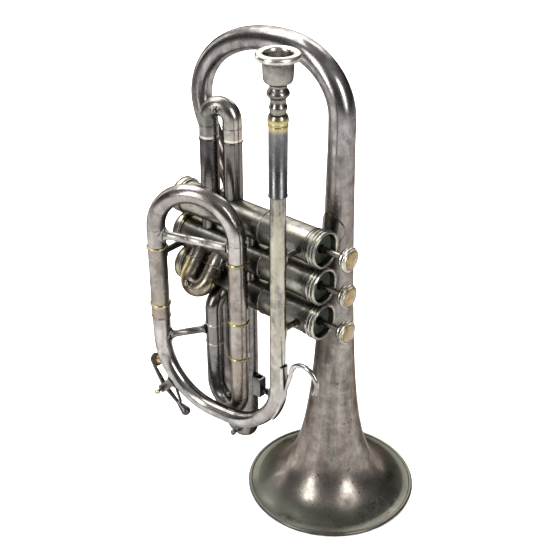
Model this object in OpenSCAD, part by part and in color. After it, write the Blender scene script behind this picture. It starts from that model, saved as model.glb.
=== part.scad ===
// Three-valve cornet standing on its bell.
// Millimetres. Origin: centre of the bell rim, on the surface it stands on.
// +Z runs up the bell to the player, +X along the valves to the finger buttons,
// and -Y to the side that carries the leadpipe and the main tuning slide.

/* [Bell] */
// Outer radius of the bell rim
rim_r = 60; // [50:0.5:68]
// Radius of the rolled edge around the rim wire
rim_roll_r = 1.6; // [1.2:0.1:2.2]
// Thickness of the bell sheet
bell_wall = 0.8; // [0.5:0.05:1]
// Length constant of the horn curve: smaller flares later
horn_length = 11.65; // [9:0.05:14]
// Power of the horn curve
horn_power = 0.635; // [0.6:0.005:0.68]
// Height at which the straight stem ends and the bow begins
stem_top = 262; // [240:1:290]

/* [Bell bow] */
// Height at which the bow leaves the straight stem
bow_spring = 282; // [270:1:292]
// Height of the bow's centreline at its highest
bow_crown = 321; // [310:0.5:330]
// Reach of the bow from the stem to its highest point
bow_near = 45; // [38:0.5:50]
// Reach of the bow from its highest point to its far side
bow_far = 65; // [56:0.5:68]
// Height at which the far side of the bow comes straight down
bow_fall = 279; // [268:1:288]
// Sideways drift of the far side of the bow
bow_drift = 9; // [4:0.5:12]
// Outer radius of the tail where it meets the first valve
tail_r = 6.7; // [6:0.1:7.5]
// Place of the tail along the first valve
tail_x = -76; // [-80:0.5:-72]
// Angle at which the tail comes down on the first valve, in degrees
tail_pitch = 24; // [14:1:28]

/* [Tubing] */
// Bore radius of the slides
bore_r = 5.3; // [4.8:0.05:5.8]
// Wall of every drawn tube
tube_wall = 0.5; // [0.4:0.05:0.8]
// Radial running clearance of every slide, piston and pivot
run_gap = 0.05; // [0.03:0.01:0.08]
// Gap that the solder fills between brazed pieces
braze_gap = 0.08; // [0.04:0.01:0.15]
// How far a bead ring stands proud of its tube
bead = 0.5; // [0.3:0.05:0.8]

/* [Mouthpiece] */
// Height of the mouthpiece rim
mouthpiece_top = 339.5; // [330:0.5:360]
// Outer radius of the mouthpiece rim
mouth_rim_r = 13; // [12:0.1:14]
// Radius of the opening inside the rim
cup_r = 8; // [7.6:0.05:8.4]
// Outer radius of the cup
cup_outer_r = 8.9; // [8.8:0.1:10]
// Depth of the cup
cup_depth = 12; // [9:0.5:13]
// Radius of the throat
throat_r = 1.85; // [1.6:0.05:2.1]

/* [Leadpipe and front bow] */
// Place of the leadpipe along the valve axis
lead_x = 1.35; // [-2:0.05:4]
// Place of the leadpipe to the side of the bell
lead_y = -61; // [-64:0.5:-60.5]
// Outer radius of the leadpipe at its upper end
lead_top_r = 4.9; // [4.7:0.05:5]
// Outer radius of the leadpipe at its lower end
lead_low_r = 5.2; // [5.1:0.05:5.5]
// Height of the receiver's lower end
receiver_low = 253.5; // [235:0.5:262]
// Height of the receiver's upper end
receiver_top = 297; // [290:0.5:300]
// Outer radius of the receiver
receiver_r = 5.6; // [5.55:0.05:6]
// Height of the front bow's centreline at its lowest
bow_low = 77.3; // [74:0.1:82]
// Bend radius of the front bow on the leadpipe's side
bow_lead_r = 41; // [34:0.5:44]
// Bend radius of the front bow on the slide's side
bow_slide_r = 44; // [38:0.5:48]
// Height at which the front bow meets the lower slide sleeve
front_bow_top = 137; // [130:0.5:142]

/* [Main tuning slide] */
// Place of the upper slide leg along the valve axis
right_x = -39.9; // [-42:0.1:-36]
// Place of the upper slide leg to the side of the bell
right_y = -52.6; // [-53.5:0.1:-52]
// Distance between the two slide legs
main_span = 57.6; // [50:0.2:62]
// Turn of the slide's plane from the valve axis, in degrees
main_yaw = 18.5; // [14:0.5:22]
// Height of the sleeve mouths
main_mouth = 191.5; // [185:0.5:196]
// Height at which the slide's legs turn into the bow
main_spring = 204.8; // [200:0.2:212]
// Length of slide leg inside each sleeve
main_inner = 50; // [40:1:51]
// Height of the lower end of the lower slide sleeve's outer tube
left_ring = 147.6; // [144:0.2:152]
// Height of the stay across the slide
main_stay_z = 200.4; // [197:0.2:203]

/* [Return bow] */
// Height of the return bow's two joints
return_joint = 86.8; // [82:0.2:90]
// Distance between the return bow's legs
return_span = 26.8; // [25.6:0.1:28]
// Turn of the return bow's plane from the valve axis, in degrees
return_yaw = -8.8; // [-11:0.2:-6]
// Centreline radius of the bend into the third valve
return_bend_r = 9; // [8:0.5:10]
// Angle of the bend into the third valve, in degrees
return_bend = 60; // [50:1:62]

/* [Valves] */
// Distance of the valves' plane from the bell's axis
valve_y = -32; // [-34:0.5:-31.5]
// Height of the middle valve
valve_mid_z = 184.7; // [183:0.2:187]
// Distance from one valve to the next
valve_pitch = 26; // [25.4:0.1:27]
// Radius of the casings at the fingers' end
casing_r = 11.3; // [11:0.1:11.5]
// Radius of the casings at their lower end
casing_low_r = 10.8; // [10.6:0.1:11]
// Radius of the pistons
piston_r = 9.65; // [9.3:0.05:9.8]
// Place of the step in the casing's diameter
casing_step = -32; // [-36:0.5:-30]
// Lower end of the casings
casing_low = -102; // [-106:0.5:-100]
// Upper end of the casings
casing_top = 8.2; // [7.5:0.1:10]
// Radius of the caps
cap_r = 12.2; // [11.8:0.05:12.5]
// Lower end of the pistons at rest
piston_low = -92; // [-93:0.5:-91]
// Upper end of the pistons at rest
piston_top = -37; // [-40:0.5:-36]
// Travel of the pistons
stroke = 15; // [12:0.5:15]
// Outer face of the finger buttons
button_face = 35; // [33:0.5:38]
// Radius of the finger buttons
button_r = 8; // [7:0.1:8.5]
// Radius of the pearl discs
pearl_r = 5.9; // [5:0.1:6.2]
// Radius of the valve stems
stem_r = 2; // [1.6:0.1:2.4]

/* [Valve slides] */
// Distance between the legs of each valve slide
crook_span = 16.4; // [15.6:0.1:17]
// Middle of the first slide along the valve axis
first_x = -71.6; // [-73:0.2:-70]
// Height of the first slide's sleeve mouths
first_mouth = 260.7; // [250:0.5:266]
// Height at which the first slide's legs turn into its bow
first_spring = 274; // [264:0.5:280]
// Middle of the second slide along the valve axis
second_x = -77.2; // [-78:0.2:-76]
// How far the second slide points down from level, in degrees
second_pitch = 50; // [46:1:51]
// How far the second slide sits above its valve's axis, to clear the third valve
second_offset = 1.5; // [1:0.1:3]
// Distance of the second slide's sleeve mouths from its valve's axis
second_mouth = 17.3; // [16.5:0.1:19]
// Distance of the second slide's bend from its valve's axis
second_spring = 26; // [24.5:0.1:28]
// Middle of the third slide along the valve axis
third_x = -63.2; // [-64:0.2:-62]
// Place of the third slide to the side of the bell
third_y = -26.5; // [-27:0.1:-26]
// Height of the third slide's sleeve mouths
third_mouth = 47.5; // [42:0.5:55]
// Height at which the third slide's legs turn into its bow
third_spring = 40.5; // [38:0.5:46]
// Distance of each pull knob from the tube's centreline
knob_reach = 9.6; // [8.5:0.1:12]

/* [Small parts] */
// Inner radius of the finger hook
hook_r = 8.7; // [8:0.1:10]
// Radius of the hook's rod
hook_rod_r = 1.7; // [1.4:0.05:2.2]
// Distance of the water key's pivot from the bow's bend centre
key_reach = 62; // [61:0.2:64]
// Half the length of the water key's lever
key_arm = 20.5; // [18:0.5:22]
// Inner width of the lyre box
lyre_slot = 4.4; // [4.2:0.1:5]
// Height of the middle of the lyre box
lyre_z = 78; // [74:0.5:86]

/* [Hidden] */
$fn = 64;
sides = 24;
wire_sides = 6;
soft = 32;

silver = [0.55, 0.53, 0.52];
dark_silver = [0.38, 0.36, 0.36];
warm_brass = [0.72, 0.6, 0.3];
amber = [0.85, 0.62, 0.2];

// Radii that follow from the bore
inner_r = bore_r + tube_wall;
sleeve_bore = inner_r + run_gap;
sleeve_r = sleeve_bore + tube_wall;
crook_r = sleeve_r - 0.1;
return_r = inner_r + 0.2;

// Legs and frames
left_x = right_x - main_span * cos(main_yaw);
left_y = right_y - main_span * sin(main_yaw);
front_span = norm([lead_x - left_x, lead_y - left_y]);
front_yaw = atan2(lead_y - left_y, lead_x - left_x);
lead_low = bow_low + bow_lead_r;
return_x = right_x - return_span * cos(return_yaw);
return_y = right_y - return_span * sin(return_yaw);
first_yaw = main_yaw;
joint_gap = 0.1;
ring_half = 0.7;

function valve_z(i) = valve_mid_z + (2 - i) * valve_pitch;
function unit(v) = v / norm(v);

// The horn: inner and outer radius of the bell at height z
function horn_in(z) = (rim_r - rim_roll_r) * pow(horn_length / (z + horn_length), horn_power);
function horn_slope(z) = horn_power * horn_in(z) / (z + horn_length);
function horn_out(z) = horn_in(z) + bell_wall * sqrt(1 + pow(horn_slope(z), 2));
horn_steps = 30;
horn_z = [for (k = [0 : horn_steps]) stem_top * pow(k / horn_steps, 2)];
horn_front_z = [for (k = [2 : horn_steps]) horn_z[k]];
horn_back_z = [for (k = [3 : horn_steps]) horn_z[k]];

// ---- sweeps -------------------------------------------------------------------------------

function reversed(list) = [for (k = [len(list) - 1 : -1 : 0]) list[k]];
function tangents(p) = [for (k = [0 : len(p) - 1]) unit(p[min(k + 1, len(p) - 1)] - p[max(k - 1, 0)])];
function carried(t, n, k) =
    k == len(t) ? [] : let (m = unit(n - (n * t[k]) * t[k])) concat([m], carried(t, m, k + 1));
function ring_points(c, t, n, r, count) =
    let (b = cross(t, n)) [for (s = [0 : count - 1]) c + r * (cos(360 * s / count) * n + sin(360 * s / count) * b)];
function quads(first, count, rings, flip) = [
    for (k = [0 : rings - 2], s = [0 : count - 1])
        let (
            a = first + k * count + s,
            b = first + k * count + (s + 1) % count,
            c = b + count,
            d = a + count
        )
        flip ? [a, b, c, d] : [d, c, b, a]
];

// A hollow tube of changing radius along a path
module swept_tube(path, outer, inner, start_normal) {
    t = tangents(path);
    n = carried(t, start_normal, 0);
    rings = len(path);
    skin = rings * sides;
    last = skin - sides;
    points = concat(
        [for (k = [0 : rings - 1]) each ring_points(path[k], t[k], n[k], outer[k], sides)],
        [for (k = [0 : rings - 1]) each ring_points(path[k], t[k], n[k], inner[k], sides)]
    );
    ends = [
        for (s = [0 : sides - 1])
            let (q = (s + 1) % sides)
            each [
                [s, q, q + skin, s + skin],
                [last + q, last + s, last + s + skin, last + q + skin]
            ]
    ];
    polyhedron(points, concat(quads(0, sides, rings, false), quads(skin, sides, rings, true), ends), 10);
}

// A solid rod along a path
module swept_rod(path, r, start_normal) {
    t = tangents(path);
    n = carried(t, start_normal, 0);
    rings = len(path);
    points = [for (k = [0 : rings - 1]) each ring_points(path[k], t[k], n[k], r, wire_sides)];
    last = (rings - 1) * wire_sides;
    ends = [
        [for (s = [0 : wire_sides - 1]) s],
        [for (s = [wire_sides - 1 : -1 : 0]) last + s]
    ];
    polyhedron(points, concat(quads(0, wire_sides, rings, false), ends), 10);
}

// ---- shared shapes ------------------------------------------------------------------------

module tube(r, bore, h) {
    difference() {
        cylinder(r = r, h = h);
        translate([0, 0, -1])
            cylinder(r = bore, h = h + 2);
    }
}

module ring_2d(r, bore) {
    difference() {
        circle(r);
        circle(bore);
    }
}

// Half a hollow ring in the XZ plane, with its crown up
module half_bow(span, r, bore) {
    rotate([90, 0, 0])
        rotate_extrude(angle = 180)
            translate([span / 2, 0])
                ring_2d(r, bore);
}

// A bead around a tube that stands on the Z axis
module bead_ring(r, size) {
    rotate_extrude()
        translate([r, 0])
            intersection() {
                circle(size);
                translate([-tube_wall / 2, -size])
                    square([2 * size, 2 * size]);
            }
}

module main_frame() {
    translate([right_x, right_y, 0])
        rotate([0, 0, main_yaw])
            children();
}

module front_frame() {
    translate([lead_x, lead_y, 0])
        rotate([0, 0, front_yaw])
            children();
}

module return_frame() {
    translate([right_x, right_y, 0])
        rotate([0, 0, return_yaw])
            children();
}

// Stands on a valve's axis with Z turned along it, so that heights are places along X
module on_valve(i) {
    translate([0, valve_y, valve_z(i)])
        rotate([0, 90, 0])
            children();
}

// What a casing fills, with room for the solder
module casing_space(i) {
    on_valve(i) {
        translate([0, 0, casing_low])
            cylinder(r = casing_low_r + braze_gap, h = casing_step - casing_low);
        translate([0, 0, casing_step])
            cylinder(r = casing_r + braze_gap, h = casing_top - casing_step);
    }
}

// Frames in which +Z leaves a valve along each of its tubes
module first_legs() {
    for (side = [-1, 1])
        translate([first_x, valve_y, 0])
            rotate([0, 0, first_yaw])
                translate([side * crook_span / 2, 0, 0])
                    children();
}

module second_frame() {
    translate([second_x, valve_y, valve_z(2)])
        rotate([90 + second_pitch, 0, 0])
            translate([0, second_offset, 0])
                children();
}

module second_legs() {
    for (side = [-1, 1])
        second_frame()
            translate([side * crook_span / 2, 0, 0])
                children();
}

module third_legs() {
    for (side = [-1, 1])
        translate([third_x + side * crook_span / 2, third_y, 0])
            children();
}

module tail_frame() {
    translate([tail_x, valve_y, valve_z(1)])
        rotate([tail_pitch - 90, 0, 0])
            children();
}

module return_entry_frame() {
    translate([return_x, valve_y, valve_z(3)])
        rotate([180 - return_bend, 0, 0])
            children();
}

// ---- bell ---------------------------------------------------------------------------------

// A point in the thickness of the rolled edge
function roll_point(a) = [
    rim_r - rim_roll_r + 0.85 * rim_roll_r * cos(a),
    rim_roll_r + 0.85 * rim_roll_r * sin(a)
];

module bell() {
    color(silver) {
        rotate_extrude($fn = 128)
            polygon(concat(
                [roll_point(190), roll_point(235)],
                [for (z = horn_front_z) [horn_in(z), z]],
                [for (z = reversed(horn_back_z)) [horn_out(z), z]]
            ));
        rotate_extrude($fn = 128)
            translate([rim_r - rim_roll_r, rim_roll_r])
                ring_2d(rim_roll_r, rim_roll_r * 0.7);
    }
}

module rim_wire() {
    color(warm_brass)
        rotate_extrude()
            translate([rim_r - rim_roll_r, rim_roll_r])
                circle(rim_roll_r * 0.7 - run_gap);
}

bow_fullness = 0.9;
near_steps = 13;
far_steps = 14;
tail_steps = 14;
tail_stub = 4;
tail_lip = 1.5;
tail_out = [0, cos(tail_pitch), sin(tail_pitch)];
tail_end = [tail_x, valve_y, valve_z(1)] + (casing_low_r + tail_stub) * tail_out;
bow_end = [-bow_near - bow_far, -bow_drift, bow_fall];
tail_drop = 24;
tail_lead = 10;

function near_point(a) = [-bow_near * (1 - cos(a)), 0, bow_spring + (bow_crown - bow_spring) * sin(a)];
function far_point(a) = [
    -bow_near - bow_far * pow(sin(a), bow_fullness),
    -bow_drift * pow(sin(a / 2), 2) * 2,
    bow_fall + (bow_crown - bow_fall) * pow(cos(a), bow_fullness)
];
function bezier(p, t) =
    pow(1 - t, 3) * p[0] + 3 * pow(1 - t, 2) * t * p[1] + 3 * (1 - t) * t * t * p[2] + pow(t, 3) * p[3];
tail_control = [
    bow_end,
    bow_end - [0, bow_drift * 0.4, tail_drop],
    tail_end + tail_lead * tail_out,
    tail_end
];
bow_path = concat(
    [[0, 0, stem_top + joint_gap]],
    [for (k = [0 : near_steps]) near_point(90 * k / near_steps)],
    [for (k = [1 : far_steps]) far_point(90 * k / far_steps)],
    [for (k = [1 : tail_steps]) bezier(tail_control, k / tail_steps)],
    [tail_end - tail_lip * tail_out]
);
bow_count = len(bow_path) - 1;
function bow_outer(k) = tail_r + (horn_out(stem_top) - tail_r) * pow(1 - k / bow_count, 1.5);

module bell_bow() {
    color(silver)
        swept_tube(
            bow_path,
            [for (k = [0 : bow_count]) bow_outer(k)],
            [for (k = [0 : bow_count]) bow_outer(k) - bell_wall],
            [0, 1, 0]
        );
}

module bell_tail_ferrule() {
    color(dark_silver)
        difference() {
            tail_frame()
                tube(tail_r, bore_r, casing_low_r + tail_stub - tail_lip - braze_gap);
            casing_space(1);
        }
}

// A cone that follows the horn closely between two heights
module horn_cone(low, high, extra) {
    translate([0, 0, low])
        cylinder(r1 = horn_out(low) + extra, r2 = horn_out(high) + extra, h = high - low);
}

// A pointed oval that runs along Y
module lens(half_length, half_width, reach) {
    r = (half_length * half_length + half_width * half_width) / (2 * half_width);
    rotate([90, 0, 0])
        intersection() {
            translate([r - half_width, 0, 0])
                cylinder(r = r, h = reach);
            translate([half_width - r, 0, 0])
                cylinder(r = r, h = reach);
        }
}

stay_r = 2.2;
saddle_thick = 0.9;
bell_saddle_half = [0, 13, 0, 6];

module bell_stay(i) {
    z = valve_z(i);
    half = bell_saddle_half[i];
    difference() {
        union() {
            intersection() {
                horn_cone(z - half - 2, z + half + 2, braze_gap + saddle_thick);
                translate([0, 0, z])
                    lens(half, half * 0.68, rim_r);
            }
            translate([0, 0, z])
                rotate([90, 0, 0])
                    cylinder(r = stay_r, h = -valve_y);
        }
        horn_cone(z - half - 3, z + half + 3, braze_gap);
        casing_space(i);
    }
}

module bell_stays() {
    color(silver) {
        bell_stay(1);
        bell_stay(3);
    }
}

// ---- mouthpiece, receiver, leadpipe -------------------------------------------------------

rim_height = 4.6;
shank_r = 4.35;
shank_tip_r = 3.85;
shank_length = 26;
socket_depth = 12;
lead_insert = 10;
front_lip = 1.5;

seat = receiver_top + 6.6;

module mouthpiece_body_2d() {
    top = mouthpiece_top;
    polygon([
        [0, top - 2], [cup_outer_r, top - 2], [cup_outer_r, top - 8],
        [cup_outer_r - 0.6, top - 16], [cup_outer_r - 2.2, top - 17.4],
        [5.1, top - 18.2], [4.9, top - 20.4], [6, top - 22.2], [6.6, top - 23.6],
        [6, top - 25], [4.7, top - 26.4], [4.4, top - 28.6], [4.7, top - 30.4],
        [5.3, top - 31.6], [4.9, top - 33], [shank_r, seat + 0.3],
        [shank_r, receiver_top], [shank_tip_r, receiver_top - shank_length],
        [0, receiver_top - shank_length]
    ]);
}

module mouthpiece_bore_2d() {
    top = mouthpiece_top;
    polygon([
        [0, top + 1], [cup_r + 1.2, top + 1], [cup_r + 1.2, top], [cup_r, top - 1.4],
        [cup_r - 0.6, top - cup_depth * 0.5], [cup_r * 0.6, top - cup_depth * 0.85],
        [throat_r, top - cup_depth], [throat_r, top - cup_depth - 6],
        [shank_tip_r - 0.6, receiver_top - shank_length],
        [shank_tip_r - 0.6, receiver_top - shank_length - 1],
        [0, receiver_top - shank_length - 1]
    ]);
}

module mouthpiece() {
    color(silver)
        translate([lead_x, lead_y, 0])
            difference() {
                union() {
                    translate([0, 0, mouthpiece_top - rim_height])
                        cylinder(r = mouth_rim_r - rim_height / 2, h = rim_height);
                    rotate_extrude()
                        translate([mouth_rim_r - rim_height / 2, mouthpiece_top - rim_height / 2])
                            circle(rim_height / 2);
                    rotate_extrude()
                        mouthpiece_body_2d();
                }
                rotate_extrude()
                    mouthpiece_bore_2d();
            }
}

ball_r = 6.2;

module receiver() {
    color(silver)
        translate([lead_x, lead_y, 0])
            difference() {
                union() {
                    translate([0, 0, receiver_low])
                        cylinder(r = receiver_r, h = receiver_top - receiver_low);
                    translate([0, 0, receiver_low])
                        cylinder(r = receiver_r + 0.25, h = 1.2);
                    for (z = [receiver_top - 0.2, receiver_top + 1.6])
                        translate([0, 0, z])
                            cylinder(r = receiver_r + 0.4, h = 0.8);
                    translate([0, 0, receiver_top + 3.6])
                        intersection() {
                            sphere(r = ball_r);
                            translate([0, 0, -3.2])
                                cylinder(r = ball_r, h = 6.2);
                        }
                }
                translate([0, 0, receiver_top - socket_depth - shank_length])
                    cylinder(
                        r1 = shank_tip_r + run_gap - (shank_r - shank_tip_r) * socket_depth / shank_length,
                        r2 = shank_r + run_gap,
                        h = socket_depth + shank_length
                    );
                translate([0, 0, receiver_top - 0.01])
                    cylinder(r = shank_r + run_gap, h = 10);
                translate([0, 0, receiver_low - 1])
                    cylinder(r = lead_top_r + braze_gap, h = lead_insert + 1);
            }
}

leadpipe_low = lead_low + front_lip + braze_gap;
leadpipe_length = receiver_low + lead_insert - leadpipe_low - braze_gap;

module leadpipe() {
    color(silver)
        translate([lead_x, lead_y, leadpipe_low])
            difference() {
                cylinder(r1 = lead_low_r, r2 = lead_top_r, h = leadpipe_length);
                translate([0, 0, -0.01])
                    cylinder(
                        r1 = lead_low_r - tube_wall,
                        r2 = shank_tip_r - 0.6,
                        h = leadpipe_length + 0.02
                    );
            }
}

bend_steps = 14;
rise_steps = 2;
front_path = concat(
    [[0, 0, lead_low + front_lip]],
    [for (k = [0 : bend_steps]) let (a = 90 * k / bend_steps)
        [bow_lead_r * (cos(a) - 1), 0, lead_low - bow_lead_r * sin(a)]],
    [for (k = [0 : bend_steps]) let (a = 90 * k / bend_steps)
        [-front_span + bow_slide_r * (1 - sin(a)), 0, bow_low + bow_slide_r * (1 - cos(a))]],
    [for (k = [1 : rise_steps])
        [-front_span, 0, bow_low + bow_slide_r
            + (front_bow_top - bow_low - bow_slide_r) * k / rise_steps]]
);
front_count = len(front_path) - 1;
function front_outer(k) = lead_low_r + (crook_r - lead_low_r) * pow(k / front_count, 3);

module front_bow() {
    color(silver)
        front_frame()
            swept_tube(
                front_path,
                [for (k = [0 : front_count]) front_outer(k)],
                [for (k = [0 : front_count]) front_outer(k) - tube_wall - 0.2],
                [0, 1, 0]
            );
}

// ---- main tuning slide --------------------------------------------------------------------

module lower_slide_sleeve() {
    color(silver)
        translate([left_x, left_y, 0])
            difference() {
                union() {
                    translate([0, 0, front_bow_top + joint_gap])
                        cylinder(r = sleeve_r, h = main_mouth - front_bow_top - joint_gap);
                    translate([0, 0, main_mouth - ring_half])
                        bead_ring(sleeve_r, bead);
                    translate([0, 0, left_ring])
                        bead_ring(sleeve_r, bead);
                    translate([0, 0, front_bow_top + 1])
                        bead_ring(sleeve_r, bead / 2);
                }
                translate([0, 0, front_bow_top])
                    cylinder(r = bore_r, h = main_mouth - front_bow_top + 1);
                translate([0, 0, main_mouth - main_inner - 2])
                    cylinder(r = sleeve_bore, h = main_inner + 3);
            }
}

upper_rings = [main_mouth - ring_half, left_ring - 1, left_ring - 28.8];

module upper_slide_sleeve() {
    color(silver)
        translate([right_x, right_y, 0])
            difference() {
                union() {
                    translate([0, 0, left_ring - 28.8])
                        cylinder(r = sleeve_r, h = main_mouth - left_ring + 28.8);
                    translate([0, 0, return_joint + joint_gap])
                        cylinder(r = return_r, h = left_ring - 28.8 - return_joint);
                    for (z = upper_rings)
                        translate([0, 0, z])
                            bead_ring(sleeve_r, bead);
                }
                translate([0, 0, return_joint - 1])
                    cylinder(r = bore_r, h = main_mouth - return_joint + 2);
                translate([0, 0, main_mouth - main_inner - 2])
                    cylinder(r = sleeve_bore, h = main_inner + 3);
            }
}

module main_slide() {
    color(silver)
        main_frame() {
            translate([-main_span / 2, 0, main_spring])
                half_bow(main_span, crook_r, bore_r);
            for (x = [0, -main_span])
                translate([x, 0, 0]) {
                    translate([0, 0, main_mouth + joint_gap])
                        tube(crook_r, bore_r, main_spring - main_mouth - joint_gap);
                    translate([0, 0, main_mouth - main_inner])
                        tube(inner_r, bore_r, main_inner + joint_gap);
                }
        }
}

module main_slide_stay() {
    color(silver)
        main_frame()
            difference() {
                union() {
                    translate([-main_span, 0, main_stay_z])
                        rotate([0, 90, 0])
                            cylinder(r = stay_r - 0.1, h = main_span);
                    for (x = [0.36, 0.64])
                        translate([-main_span * x, 0, main_stay_z])
                            rotate([0, 90, 0])
                                cylinder(r = stay_r + 0.35, h = 1, center = true);
                    for (x = [-main_span, 0])
                        translate([x, 0, main_stay_z])
                            intersection() {
                                cylinder(r = crook_r + braze_gap + saddle_thick, h = 10, center = true);
                                rotate([0, 0, x == 0 ? -90 : 90])
                                    lens(4.4, 3.4, 20);
                            }
                }
                for (x = [-main_span, 0])
                    translate([x, 0, main_stay_z - 8])
                        cylinder(r = crook_r + braze_gap, h = 16);
            }
}

// ---- return bow ---------------------------------------------------------------------------

module return_bow() {
    color(dark_silver)
        return_frame()
            translate([-return_span / 2, 0, return_joint])
                mirror([0, 0, 1])
                    half_bow(return_span, return_r, bore_r);
}

entry_reach = norm([
    valve_y - return_y - return_bend_r * (1 - cos(return_bend)),
    (valve_y - return_y - return_bend_r * (1 - cos(return_bend))) / tan(return_bend)
]);
bend_low = valve_z(3) - entry_reach * cos(return_bend) - return_bend_r * sin(return_bend);
return_rings = [left_ring - 14.4, left_ring - 29.5];

module return_tube() {
    color(dark_silver)
        difference() {
            union() {
                translate([return_x, return_y, return_joint + joint_gap])
                    tube(return_r, bore_r, bend_low - return_joint - joint_gap - braze_gap);
                for (z = return_rings)
                    translate([return_x, return_y, z])
                        bead_ring(return_r, bead);
                translate([return_x, return_y + return_bend_r, bend_low])
                    rotate([0, -90, 0])
                        rotate([0, 0, -90])
                            rotate_extrude(angle = return_bend)
                                translate([return_bend_r, 0])
                                    ring_2d(return_r, bore_r);
                return_entry_frame()
                    tube(return_r, bore_r, entry_reach - braze_gap);
            }
            casing_space(3);
        }
}

// ---- valve slides -------------------------------------------------------------------------

module sleeve(from, mouth) {
    difference() {
        union() {
            translate([0, 0, from])
                cylinder(r = sleeve_r, h = mouth - from);
            translate([0, 0, mouth - ring_half])
                bead_ring(sleeve_r, bead);
        }
        translate([0, 0, from - 1])
            cylinder(r = sleeve_bore, h = mouth - from + 2);
    }
}

first_inner = 32;
second_inner = 5;
third_inner = 45;

module crook(mouth, spring, inner) {
    translate([0, 0, spring])
        half_bow(crook_span, crook_r, bore_r);
    for (side = [-1, 1])
        translate([side * crook_span / 2, 0, 0]) {
            translate([0, 0, mouth + joint_gap])
                tube(crook_r, bore_r, spring - mouth - joint_gap);
            translate([0, 0, mouth - inner])
                tube(inner_r, bore_r, inner + joint_gap);
        }
    translate([0, 0, spring + crook_span / 2])
        rotate([90, 0, 0]) {
            translate([0, 0, crook_r - 0.2])
                cylinder(r = 1.3, h = knob_reach - crook_r);
            translate([0, 0, knob_reach])
                sphere(r = 2.2);
        }
}

module first_slide_sleeves() {
    color(dark_silver)
        difference() {
            first_legs()
                sleeve(valve_z(1), first_mouth);
            casing_space(1);
        }
}

module first_slide() {
    color(dark_silver)
        translate([first_x, valve_y, 0])
            rotate([0, 0, first_yaw])
                crook(first_mouth, first_spring, first_inner);
}

module second_slide_sleeves() {
    color(dark_silver)
        difference() {
            second_legs()
                sleeve(0, second_mouth);
            casing_space(2);
        }
}

module second_slide() {
    color(dark_silver)
        second_frame()
            rotate([0, 0, 180])
                crook(second_mouth, second_spring, second_inner);
}

module third_slide_sleeves() {
    color(dark_silver)
        difference() {
            third_legs()
                difference() {
                    union() {
                        translate([0, 0, third_mouth])
                            cylinder(r = sleeve_r, h = valve_z(3) - third_mouth);
                        translate([0, 0, third_mouth + ring_half])
                            bead_ring(sleeve_r, bead);
                    }
                    translate([0, 0, third_mouth - 1])
                        cylinder(r = sleeve_bore, h = valve_z(3) - third_mouth + 2);
                }
            casing_space(3);
        }
}

module third_slide() {
    color(dark_silver)
        translate([third_x, third_y, 0])
            mirror([0, 0, 1])
                crook(-third_mouth, -third_spring, third_inner);
}

// ---- valves -------------------------------------------------------------------------------

upper_knuckle_x = [-46, -84];
lower_knuckle_x = [-46, -57.8];
knuckle_r = 5.2;
knuckle_bore = 4.4;
cap_length = 7;
cap_floor = 1.5;
cap_recess_r = cap_r - 1.9;
spigot = 4;
barrel_r = 7.6;
barrel_bore = 6.6;
barrel_top = -6;
barrel_lid = 2;
guide_x = -33;
guide_thick = 2;
guide_width = 4;
spring_turns = 6;
spring_wire = 0.45;
spring_r = 5.4;
button_thick = 5.2;
felt_thick = 1.2;

module ports(i) {
    if (i == 1) {
        first_legs()
            translate([0, 0, valve_z(1)])
                cylinder(r = bore_r - 0.3, h = 20);
        tail_frame()
            cylinder(r = bore_r - 0.3, h = 20);
    }
    if (i == 2)
        second_legs()
            cylinder(r = bore_r - 0.3, h = 20);
    if (i == 3) {
        third_legs()
            translate([0, 0, valve_z(3) - 20])
                cylinder(r = bore_r - 0.3, h = 20);
        return_entry_frame()
            cylinder(r = bore_r - 0.3, h = 20);
    }
    if (i < 3)
        for (x = i == 1 ? upper_knuckle_x : lower_knuckle_x)
            translate([x, valve_y, valve_z(i) - 20])
                cylinder(r = knuckle_bore, h = 20);
    if (i > 1)
        for (x = i == 2 ? upper_knuckle_x : lower_knuckle_x)
            translate([x, valve_y, valve_z(i)])
                cylinder(r = knuckle_bore, h = 20);
}

module valve_casing(i) {
    color(dark_silver)
        difference() {
            on_valve(i) {
                translate([0, 0, casing_low])
                    cylinder(r = casing_low_r, h = casing_step - casing_low);
                translate([0, 0, casing_step])
                    cylinder(r = casing_r, h = casing_top - casing_step);
                translate([0, 0, casing_low - 5])
                    cylinder(r = casing_low_r - 0.6, h = 6);
                for (x = [casing_step + 0.6, casing_top - 3, casing_top - 1.2])
                    translate([0, 0, x])
                        bead_ring(casing_r, bead * 0.8);
            }
            on_valve(i)
                translate([0, 0, casing_low - 6])
                    cylinder(r = piston_r + run_gap, h = casing_top - casing_low + 8);
            ports(i);
        }
}

module top_caps() {
    color(silver)
        for (i = [1 : 3])
            on_valve(i)
                difference() {
                    union() {
                        translate([0, 0, casing_top + 0.02])
                            cylinder(r = cap_r - 0.4, h = cap_length);
                        for (k = [0 : 2])
                            translate([0, 0, casing_top + 1.2 + k * 2.3])
                                cylinder(r = cap_r, h = 1.3);
                        translate([0, 0, casing_top - spigot])
                            cylinder(r = piston_r - 0.05, h = spigot + 1);
                    }
                    translate([0, 0, casing_top + cap_floor])
                        cylinder(r = cap_recess_r, h = cap_length);
                    translate([0, 0, casing_top - spigot - 1])
                        cylinder(r = barrel_r + 0.6, h = spigot + 1);
                    translate([0, 0, casing_top - 1])
                        cylinder(r = stem_r + 0.3, h = 4);
                }
}

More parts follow.
